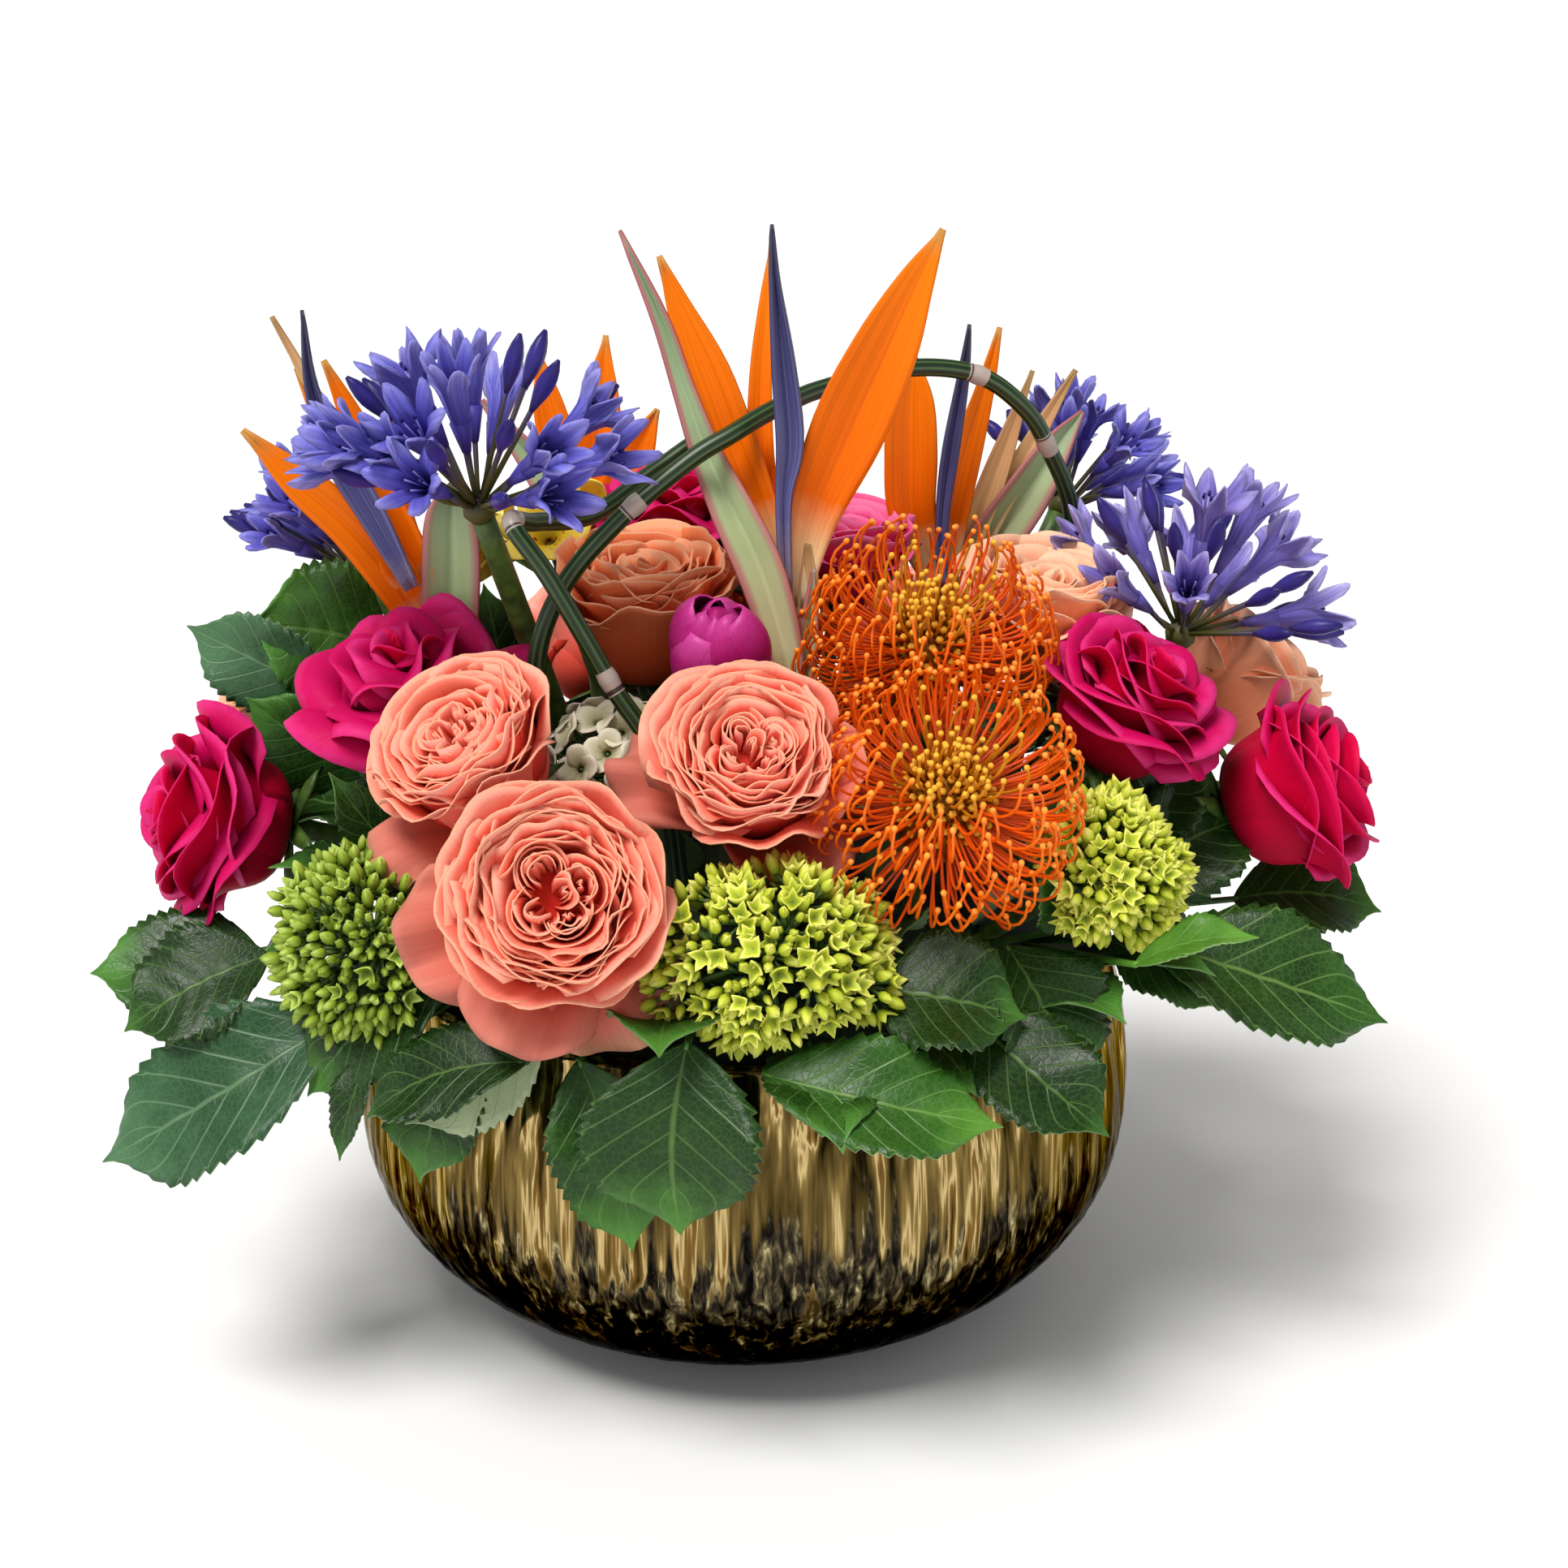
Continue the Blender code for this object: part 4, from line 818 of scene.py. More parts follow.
# The bud: a double bud just opening, its satin petals still wrapped over one another into an egg.
skin = Skin()
dice = np.random.default_rng(650)
base, axes, radius, height, foot = bloom_frame("magenta_bud", 34 / 15)
radius, tall = radius * 1.12, height / radius
add_core(skin, base, axes, radius, [(0.1, 0.1), (0.62, 0.3 * tall), (0.72, 0.55 * tall),
                                    (0.48, 0.82 * tall), (0.22, 0.94 * tall), (0.01, tall)], 0.75)
for ring, (count, length, lean, rim) in enumerate((
        (3, 1.02, 56, -60), (3, 1.06, 64, -56), (2, 1.08, 72, -54), (2, 0.94, 78, -34))):
    for number in range(count):
        turn = turn_of(dice, number, count, 0.4 * ring, 0.25)
        grid = petal(length * tall * 1.18, 1.5, (0.10 + 0.02 * ring, 0.0),
                     (lean, 1 + 2 * ring, rim + dice.uniform(-8, 6)), turn, 18, 17, 0.40, -6, 0.05, 1.3,
                     dice.uniform(0, 6.3), 1.0, blunt=1.5, swing=0.35)
        skin.sheet(base + grid * radius @ axes.T, dice.uniform(0, 1), PETAL_SHEET)
add_sepals(skin, base, axes, radius * 1.3, 1, 650)
add_stem(skin, base, axes, foot, THIN_STEM_RADIUS, 1, 650)
skin.build("magenta_bud_bloom", [magenta_petal, green_stem], "root", "magenta_bud", "magenta_bud")


# ---------------------------------------------------------------------------------------------
# Hydrangeas: heads of lime green florets in small clusters, some open into waxy cups and the rest
# still pointed buds, on short stalks from a branched green stem. The small cream one is fully open.

lime_floret = petal_finish("waxy_lime_floret",
    [(0.0, "#566810"), (0.4, "#a0b024"), (0.8, "#d0d844"), (1.0, "#f0f078")], rough=0.45,
    vein=0.1, shine=0.3, spread=0.3)
green_floret = petal_finish("waxy_green_floret",
    [(0.0, "#3c500c"), (0.4, "#6c841c"), (0.8, "#98b038"), (1.0, "#bcd468")], rough=0.45,
    vein=0.1, shine=0.3, spread=0.3)
cream_floret = petal_finish("papery_cream_floret",
    [(0.0, "#8a8a58"), (0.5, "#c8c4a0"), (1.0, "#f0ead2")], rough=0.6)

FLORET_SIZE = 2.2 * MM
FLORETS_IN_CLUSTER = 15
OPEN_FLORETS = 30
GOLDEN_TURN = math.pi * (3 - math.sqrt(5))


def toward(polar, turn):
    """The direction that leans by polar from +Z, to the side that turn gives."""
    return np.array([math.sin(polar) * math.cos(turn), math.sin(polar) * math.sin(turn), math.cos(polar)])


def aim(way, spin):
    """Three axes as columns, the last along way, turned by spin about it."""
    way = unit(way)
    side = unit(np.cross(across_from(way), way))
    other = np.cross(way, side)
    cosine, sine = math.cos(spin), math.sin(spin)
    return np.stack([side * cosine + other * sine, other * cosine - side * sine, way], axis=1)


def turned_floret(profile, lobes, depth, sides):
    """A cup or bud turned round +Z, with its rim pulled out into lobes. profile gives the radius,
    the height and how far the lobes reach there.
    """
    turn = np.linspace(0, 2 * math.pi, sides, endpoint=False)
    grid = []
    peak = 1 - 2 * np.abs(np.sin(lobes * turn / 2)) ** 1.3
    for radius, height, share in profile:
        swell = 1 + depth * share * peak
        rise = 1 + 0.9 * depth * share * peak
        grid.append(np.stack([radius * swell * np.cos(turn), radius * swell * np.sin(turn), height * rise],
                             axis=-1))
    return np.array(grid)


BUD = turned_floret([(0.12, 0.0, 0), (0.52, 0.25, 0), (0.72, 0.9, 0.3), (0.60, 1.55, 1),
                     (0.30, 2.1, 1), (0.03, 2.4, 1)], 4, 0.12, 8)
CUP = turned_floret([(0.14, 0.0, 0), (0.60, 0.35, 0.2), (0.92, 0.95, 0.6), (1.08, 1.45, 1),
                     (0.96, 1.50, 1), (0.72, 1.05, 0.6), (0.45, 0.8, 0.2), (0.05, 0.7, 0)], 4, 0.28, 16)
BUD_REACH = np.linspace(0.25, 1.0, len(BUD))[:, None]
CUP_REACH = np.array([0.1, 0.4, 0.8, 1.0, 1.0, 0.7, 0.35, 0.15])[:, None]


def hydrangea(node, finish, seed, clusters, cup_share, squash):
    """cup_share of the florets are open, and squash scales the head across, up and outwards."""
    dice = np.random.default_rng(seed)
    base, axes, radius, height, foot = bloom_frame(node, 25 / 28)
    skin = Skin()
    crown = base + axes[:, 2] * height * 0.10
    for index in range(clusters):
        local = toward(math.acos(1 - 1.15 * (index + 0.5) / clusters),
                       index * GOLDEN_TURN + dice.uniform(-0.2, 0.2))
        way = axes @ local
        size = np.array([radius, radius, height]) * dice.uniform(0.78, 0.98) * squash
        centre = crown + axes @ (local * size)
        skin.tube([crown, crown * 0.4 + centre * 0.6, centre], [1.3 * MM, 1.0 * MM, 0.8 * MM], 0.2, 5, 1)
        spread = radius * 0.25
        for number in range(FLORETS_IN_CLUSTER):
            tilt = math.acos(1 - (number + 0.4) / FLORETS_IN_CLUSTER)
            out = aim(way, index) @ toward(tilt, number * GOLDEN_TURN + dice.uniform(-0.3, 0.3))
            spot = centre + out * spread * dice.uniform(0.6, 1.0) - way * spread * 0.3
            is_open = dice.uniform() < cup_share
            grown = FLORET_SIZE * dice.uniform(0.75, 1.25) * (1.1 if is_open else 0.95)
            shape, reach = (CUP, CUP_REACH) if is_open else (BUD, BUD_REACH)
            grid = spot + shape * grown @ aim(out * 0.6 + way * 0.4, dice.uniform(0, 6.3)).T
            skin.patch(grid, (reach, 0.0, dice.uniform(0, 1), 0.0), 0, closed=True)
            skin.tube([centre - way * spread * 0.5, spot + out * 0.2 * grown], 0.6 * MM, 0.2, 4, 1)
    add_stem(skin, crown, axes, foot, STEM_RADIUS, 1, seed)
    skin.build(node + "_head", [finish, green_stem], "root", "green_hydrangea", node)


for number, (place_name, finish, clusters, cup_share, squash) in enumerate((
        ("front", lime_floret, 30, 0.36, (1.12, 0.72, 0.95)),
        ("left", green_floret, 34, 0.05, (1.0, 0.9, 1.0)),
        ("right", lime_floret, 28, 0.3, (0.9, 0.9, 1.0)),
        ("back", lime_floret, 30, 0.4, (1.1, 0.8, 1.0)),
        ("back_left", green_floret, 28, 0.2, (1.0, 0.9, 1.0)),
        ("back_right", lime_floret, 28, 0.4, (1.0, 0.9, 1.0)))):
    hydrangea("green_hydrangea_" + place_name, finish, 700 + number, clusters, cup_share, squash)

# The cream head: four flat rounded petals to each floret, packed into a small dome.
skin = Skin()
dice = np.random.default_rng(720)
base, axes, radius, height, foot = bloom_frame("cream_hydrangea", 24 / 19)
for index in range(OPEN_FLORETS):
    way = axes @ toward(math.acos(1 - 1.15 * (index + 0.5) / OPEN_FLORETS), index * GOLDEN_TURN)
    spot = base + way * radius * dice.uniform(0.9, 1.1)
    local_axes = aim(way + dice.normal(0, 0.15, 3), dice.uniform(0, 6.3))
    for number in range(4):
        grid = petal(1.0, 0.62, (0.16, 0.0), (50, 62, 80), number * math.pi / 2, 6, 7, 0.25, 10, 0.05,
                     1.5, dice.uniform(0, 6.3), narrow=0.4)
        skin.sheet(spot + grid * 7.0 * MM @ local_axes.T, dice.uniform(0, 1), 0.35 * MM)
    skin.tube([base, spot], [0.7 * MM, 0.6 * MM], 0.2, 4, 1)
add_stem(skin, base, axes, foot, THIN_STEM_RADIUS, 1, 720)
skin.build("cream_hydrangea_head", [cream_floret, green_stem], "root", "cream_hydrangea", "cream_hydrangea")


# ---------------------------------------------------------------------------------------------
# Pincushions: a golden dome of unopened loops, ringed by long waxy orange styles that sweep out
# and curve up again, each with a knob at its tip.

orange_style = petal_finish("waxy_orange_style",
    [(0.0, "#b03c04"), (0.35, "#f05a04"), (0.85, "#fc7a10"), (1.0, "#ffa038")], rough=0.35, vein=0.0,
    shine=0.35)
golden_loop = petal_finish("waxy_golden_loop",
    [(0.0, "#8c5c08"), (0.5, "#dc8c12"), (1.0, "#f4bc3c")], rough=0.45)

STYLES = 300
LOOPS = 120
STYLE_STEPS = 11


def pincushion(node, seed):
    """The styles in the middle are still short and golden, and those further out sweep out and up."""
    dice = np.random.default_rng(seed)
    base, axes, radius, height, foot = bloom_frame(node, 34 / 29)
    skin = Skin()
    core = base + axes[:, 2] * height * 0.05
    core_radius, core_height = radius * 0.42, height * 0.62
    core_size = np.array([core_radius, core_radius, core_height])
    for index in range(STYLES):
        share = (index + 0.5) / STYLES
        polar = math.acos(1 - 1.22 * share)
        turn = index * GOLDEN_TURN
        outward = np.array([math.cos(turn), math.sin(turn), 0.0])
        spin = np.array([-math.sin(turn), math.cos(turn), 0.0])
        young = 1 - float(smooth((share - 0.10) / 0.18))
        length = radius * (0.34 + 0.92 * (1 - young)) * dice.uniform(0.88, 1.1)
        first = polar + 0.25 * (1 - young)
        bend = (-1.7 - 0.9 * share) * (1 - young) - 0.5 * young
        path = [toward(polar, turn) * core_size]
        twist = dice.uniform(-0.35, 0.35)
        for step in range(STYLE_STEPS):
            along = (step + 0.5) / STYLE_STEPS
            angle = first + 0.35 * math.sin(along * math.pi) * (1 - young) + bend * along**1.6
            way = outward * math.sin(angle) + np.array([0, 0, math.cos(angle)]) + spin * twist * along
            path.append(path[-1] + unit(way) * length / STYLE_STEPS)
        world = core + np.array(path) @ axes.T
        tip_way = unit(world[-1] - world[-2])
        world = np.concatenate([world, world[-1] + tip_way * [[0.7 * MM], [1.5 * MM], [2.1 * MM]]])
        radii = np.full(len(world), 0.46 * MM)
        radii[-3:] = [0.85 * MM, 0.95 * MM, 0.5 * MM]
        skin.tube(world, radii, dice.uniform(0, 1), 6, 1 if young > 0.3 else 0)
    for index in range(LOOPS):
        direction = toward(math.acos(1 - 0.75 * (index + 0.5) / LOOPS), index * GOLDEN_TURN + 1.0)
        spot = core + axes @ (direction * core_size)
        way = axes @ direction
        skin.tube([spot - way * MM, spot + way * 2 * MM, spot + way * 3.4 * MM, spot + way * 4.2 * MM],
                  [0.9 * MM, 0.8 * MM, 1.3 * MM, 0.7 * MM], dice.uniform(0, 1), 6, 1)
    turn = np.linspace(0, 2 * math.pi, 24, endpoint=False)
    dome = []
    for angle in np.linspace(0.03, math.pi * 0.62, 10):
        ring = np.stack([np.sin(angle) * core_radius * np.cos(turn),
                         np.sin(angle) * core_radius * np.sin(turn),
                         math.cos(angle) * core_height + 0 * turn], axis=-1)
        dome.append(core + ring @ axes.T)
    skin.patch(np.array(dome), (0.1, 0.0, 0.3, 0.0), 1, closed=True)
    add_stem(skin, base, axes, foot, STEM_RADIUS, 2, seed)
    skin.build(node + "_head", [orange_style, golden_loop, green_stem], "root", "pincushion", node)


for number, place_name in enumerate(("front", "upper", "back")):
    pincushion("pincushion_" + place_name, 800 + number)


# ---------------------------------------------------------------------------------------------
# The yellow orchid: a short spray of waxy yellow blooms, six tepals each, freckled red inside.

yellow_tepal, tree, shader = new_finish("waxy_freckled_yellow_tepal")
reach, across, tone, face = skin_values(tree)
place = add_node(tree, "ShaderNodeTexCoord").outputs["Object"]
ground = add_node(tree, "ShaderNodeValToRGB", inputs={"Fac": reach}, stops=[
    (0.0, "#b8a020"), (0.5, "#ecc41c"), (1.0, "#f8de58")]).outputs[0]
spots = add_node(tree, "ShaderNodeTexVoronoi", inputs={
    "Vector": place, "Scale": 1 / (3.2 * MM)}).outputs["Distance"]
freckle = add_node(tree, "ShaderNodeMapRange", inputs={
    "Value": spots, "From Min": 0.22, "From Max": 0.30, "To Min": 1.0, "To Max": 0.0}).outputs[0]
inner_half = add_node(tree, "ShaderNodeMapRange", inputs={
    "Value": reach, "From Min": 0.5, "From Max": 0.8, "To Min": 1.0, "To Max": 0.0}).outputs[0]
freckle = add_node(tree, "ShaderNodeMath", {"operation": "MULTIPLY"}, {0: freckle, 1: inner_half}).outputs[0]
skin_colour = add_node(tree, "ShaderNodeMix", {"data_type": "RGBA"},
                       {0: freckle, 6: ground, 7: linear("#a81c14")}).outputs[2]
tree.links.new(skin_colour, shader.inputs["Base Color"])
shader.inputs["Roughness"].default_value = 0.4

TEPAL_LENGTH = 20 * MM

skin = Skin()
dice = np.random.default_rng(830)
base, axes, radius, height, foot = bloom_frame("yellow_orchid", 12 / 17)
for bloom, (shift, lean) in enumerate((
        ((0, 0, 0), (0, 0, 1)), ((15, 4, 6), (0.8, 0.2, 0.9)), ((-13, 10, 4), (-0.7, 0.5, 0.9)),
        ((-6, -14, 3), (-0.3, -0.9, 0.8)))):
    centre = base + axes @ (np.array(shift) * MM) + axes[:, 2] * 4 * MM
    local_axes = aim(axes @ np.array(lean, float), bloom)
    for number in range(6):
        grid = petal(1.0, 0.40 if number % 2 else 0.30, (0.08, 0.0), (20, 50, 84), number * math.pi / 3,
                     10, 9, 0.45, 10, 0.03, 1.4, dice.uniform(0, 6.3))
        skin.sheet(centre + grid * TEPAL_LENGTH @ local_axes.T, dice.uniform(0, 1), 0.5 * MM)
    skin.tube([base - axes[:, 2] * 6 * MM, centre], [1.4 * MM, 1.1 * MM], 0.4, 6, 1)
add_stem(skin, base, axes, foot, THIN_STEM_RADIUS, 1, 830)
skin.build("yellow_orchid_spray", [yellow_tepal, green_stem], "root", "yellow_orchid", "yellow_orchid")


# ---------------------------------------------------------------------------------------------
# Agapanthus: a thick smooth stem with a burst of violet-blue trumpets on olive stalks. Each has
# six narrow tepals with a darker stripe, and unopened florets stand dark between the open ones.

violet_tepal = petal_finish("satin_violet_blue_tepal",
    [(0.0, "#463a98"), (0.3, "#5a54bc"), (0.7, "#7876d8"), (1.0, "#a4a2ec")],
    back=[(0.0, "#3c3288"), (0.35, "#5048ac"), (0.8, "#6a66cc"), (1.0, "#908ee0")], rough=0.4, vein=0.35,
    veins=4.0)
lavender_tepal = petal_finish("satin_lavender_tepal",
    [(0.0, "#5c4c98"), (0.3, "#7468c4"), (0.7, "#9488dc"), (1.0, "#bcb4f0")],
    back=[(0.0, "#54408c"), (0.35, "#6c5cb4"), (0.8, "#8a7cd0"), (1.0, "#aca2e4")], rough=0.4, vein=0.35,
    veins=4.0)
violet_bud = petal_finish("satin_dark_violet_bud",
    [(0.0, "#3c3470"), (0.5, "#3c3288"), (1.0, "#241c5c")], rough=0.35)
olive_stalk = petal_finish("waxy_olive_stalk",
    [(0.0, "#4a5420"), (0.5, "#54502c"), (1.0, "#443858")], rough=0.45)


def trumpet(skin, hub, way, length, seed):
    """One open floret at the end of its stalk."""
    dice = np.random.default_rng(seed)
    local_axes = aim(way, dice.uniform(0, 6.3))
    throat = hub + way * length * 0.36
    sag = np.array([0, 0, -1.5 * MM])
    skin.tube([hub, hub * 0.5 + throat * 0.5 + sag, throat], [0.9 * MM, 0.75 * MM, 0.9 * MM], 0.4, 6, 2)
    neck = length * 0.16
    skin.tube([throat, throat + way * neck * 0.5, throat + way * neck * 1.25],
              [1.1 * MM, 1.9 * MM, 3.0 * MM], 0.3, 9, 0, reach=[0.0, 0.1, 0.2])
    opening = dice.uniform(0.55, 1.25)
    for number in range(6):
        width, rim_lean = (0.062, 58) if number % 2 else (0.050, 44)
        leans = (8, 13 * opening, rim_lean * opening + dice.uniform(-12, 12))
        grid = petal(0.50, width, (0.030, 0.13), leans, number * math.pi / 3, 11, 7, 0.28, 0, 0.012,
                     1.2, dice.uniform(0, 6.3), narrow=0.50, blunt=1.8)
        skin.sheet(throat + grid * length @ local_axes.T, dice.uniform(0, 1), 0.45 * MM)
    for number in range(4):
        turn = number * 1.57 + dice.uniform(-0.3, 0.3)
        tip = local_axes @ np.array([math.cos(turn) * 3 * MM, math.sin(turn) * 3 * MM, length * 0.44])
        skin.tube([throat + way * neck, throat + tip], [0.3 * MM, 0.3 * MM], 0.9, 4, 0)
        skin.tube([throat + tip, throat + tip + way * 1.6 * MM], [0.6 * MM, 0.5 * MM], 0.2, 5, 1)


def unopened(skin, hub, way, length, seed):
    """One floret that is still a dark closed bud, at the end of its stalk."""
    dice = np.random.default_rng(seed)
    end = hub + way * length * 0.62
    skin.tube([hub, end], [0.85 * MM, 0.8 * MM], 0.4, 6, 2)
    shares = np.linspace(0, 1, 7)
    path = end + way * (shares * length * 0.30)[:, None]
    skin.tube(path, np.array([0.9, 1.6, 2.3, 2.7, 2.5, 1.8, 0.6]) * MM, dice.uniform(0, 1), 8, 1)


# Hub, stem direction (azimuth, elevation), stem length, floret reach, widest tilt and turn (mm and
# degrees), as in their solids or up to a few degrees wider. Then the numbers of open florets and of
# unopened ones, and the finish of their tepals.
AGAPANTHUS = {
    "agapanthus_left": ((-76.5, -48, 272), (-118, 62), 150, 58, 84, 0, 17, 13, violet_tepal),
    "agapanthus_back_left": ((-128, 40, 233), (172, 48), 130, 50, 52, 0, 10, 6, violet_tepal),
    "agapanthus_right": ((143, 14, 219), (20, 66), 100, 56, 78, 30, 12, 13, lavender_tepal),
    "agapanthus_back_right": ((111, 84, 249), (38, 58), 145, 45, 72, 0, 12, 8, violet_tepal),
}
for number, (name, (hub, facing, stem, reach_mm, spread, turn, open_count, bud_count, tepal)) in (
        enumerate(AGAPANTHUS.items())):
    dice = np.random.default_rng(840 + number)
    skin = Skin()
    azimuth, elevation = (math.radians(a) for a in facing)
    axis = np.array([math.cos(azimuth) * math.cos(elevation), math.sin(azimuth) * math.cos(elevation),
                     math.sin(elevation)])
    hub = np.array(hub) * MM
    foot = hub - axis * stem * MM
    shares = np.linspace(0, 1, 12)[:, None]
    skin.tube(foot + (hub - foot) * shares, np.linspace(4.0, 3.6, 12) * MM, 0.5, 14, 3)
    skin.tube([hub - axis * 4 * MM, hub - axis * 1 * MM, hub + axis * 2 * MM, hub + axis * 4 * MM],
              [3.6 * MM, 5.2 * MM, 4.4 * MM, 1.5 * MM], 0.4, 14, 2)
    local_axes = aim(axis, math.radians(turn))
    total = open_count + bud_count
    buds = set(dice.choice(total, bud_count, replace=False).tolist())
    for index in range(total):
        tilt = math.radians(spread) * math.sqrt((index + 0.5) / total)
        way = unit(local_axes @ toward(tilt, index * GOLDEN_TURN) + dice.normal(0, 0.06, 3))
        lowest = dice.uniform(0.3, 0.6) if way[0] < 0.2 else dice.uniform(0.0, 0.25)
        way = unit([way[0], way[1], max(way[2], lowest)])
        length = reach_mm * MM * dice.uniform(0.90, 1.10)
        add_floret = unopened if index in buds else trumpet
        add_floret(skin, hub, way, length, 900 + 60 * number + index)
    skin.build(name + "_umbel", [tepal, violet_bud, olive_stalk, green_stem], "root", "agapanthus", name)


# ---------------------------------------------------------------------------------------------
# Birds of paradise: a stout stem ends in a boat-shaped green bract edged with pink, and from its
# neck stand stiff keeled orange sepals and a dark blue arrow-shaped tongue.

orange_sepal = petal_finish("satin_orange_sepal",
    [(0.0, "#f0e0c0"), (0.14, "#f4c890"), (0.26, "#f46c00"), (0.90, "#f87c04"), (1.0, "#c89048")],
    rough=0.42, vein=0.16, veins=8.0, shine=0.12, spread=0.05)
pale_sepal = petal_finish("dry_straw_sepal",
    [(0.0, "#ecdcb4"), (0.4, "#e8c488"), (0.75, "#dca874"), (1.0, "#a08050")], rough=0.6, vein=0.3,
    veins=12.0, spread=0.08)
blue_tongue = petal_finish("satin_indigo_tongue",
    [(0.0, "#b8a8c0"), (0.15, "#6c6ca8"), (0.5, "#54548c"), (1.0, "#2c2840")], rough=0.32, vein=0.5,
    veins=8.0, shine=0.5, spread=0.1)
pink_edged_bract, tree, shader = new_finish("waxy_pink_edged_bract")
reach, across, tone, face = skin_values(tree)
green_run = add_node(tree, "ShaderNodeValToRGB", inputs={"Fac": reach}, stops=[
    (0.0, "#98a868"), (0.16, "#d8d4a8"), (0.34, "#a8b484"), (0.7, "#a0b48c"), (1.0, "#7c9070")]).outputs[0]
edge = add_node(tree, "ShaderNodeMath", {"operation": "ABSOLUTE"}, {0: across}).outputs[0]
edge = add_node(tree, "ShaderNodeMapRange", {"interpolation_type": "SMOOTHSTEP"},
                {"Value": edge, "From Min": 0.62, "From Max": 0.98}).outputs[0]
edge = add_node(tree, "ShaderNodeMath", {"operation": "MULTIPLY"}, {0: edge, 1: 0.8}).outputs[0]
bract_colour = add_node(tree, "ShaderNodeMix", {"data_type": "RGBA"},
                        {0: edge, 6: green_run, 7: linear("#b0485c")}).outputs[2]
tree.links.new(bract_colour, shader.inputs["Base Color"])
shader.inputs["Roughness"].default_value = 0.45

BLADE_FACING = np.array([0.0, -1.0, 0.2])
BLADE_SHEET = 1.1 * MM
BLADE_ROWS = 26
SEPAL_FOLD = 0.42
KEEL_FOLD = 0.95


def spline(places, count):
    """count points on a Catmull-Rom curve through places."""
    knots = [np.array(p, float) for p in places]
    knots = [knots[0] * 2 - knots[1], *knots, knots[-1] * 2 - knots[-2]]
    spans = len(knots) - 3
    route = []
    for index in range(count):
        at = index * spans / (count - 1)
        span = min(int(at), spans - 1)
        t = at - span
        before, start, end, after = knots[span : span + 4]
        route.append(0.5 * (start * 2 + (end - before) * t
                            + (before * 2 - start * 5 + end * 4 - after) * t**2
                            + (start * 3 - before - end * 3 + after) * t**3))
    return np.array(route)


def add_blade(skin, places, half_widths, slot, seed, fold):
    """A stiff keeled blade along places, which has the given half width at each of them (mm)."""
    dice = np.random.default_rng(seed)
    route = spline(places, BLADE_ROWS) * MM
    half = np.maximum(spline([[w] for w in half_widths], BLADE_ROWS) * MM, 0.35 * MM)
    ahead = np.gradient(route, axis=0)
    ahead /= np.linalg.norm(ahead, axis=1, keepdims=True)
    side = np.cross(ahead, BLADE_FACING)
    side /= np.linalg.norm(side, axis=1, keepdims=True)
    face = np.cross(side, ahead)
    s = np.linspace(-1, 1, 11)[None, :]
    t = np.linspace(0, 1, BLADE_ROWS)[:, None]
    phase = dice.uniform(0, 6.3, 2)
    wide = max(half_widths) * MM
    lift = np.abs(s) * half * fold + 0.07 * wide * np.sin(9 * t + phase[0]) * s**2
    lift = lift + 0.05 * wide * np.sin(14 * s + phase[1]) * np.sin(np.pi * t)
    grid = route[:, None] + side[:, None] * (s * half)[..., None] + face[:, None] * lift[..., None]
    skin.sheet(grid, dice.uniform(0, 1), BLADE_SHEET, slot)


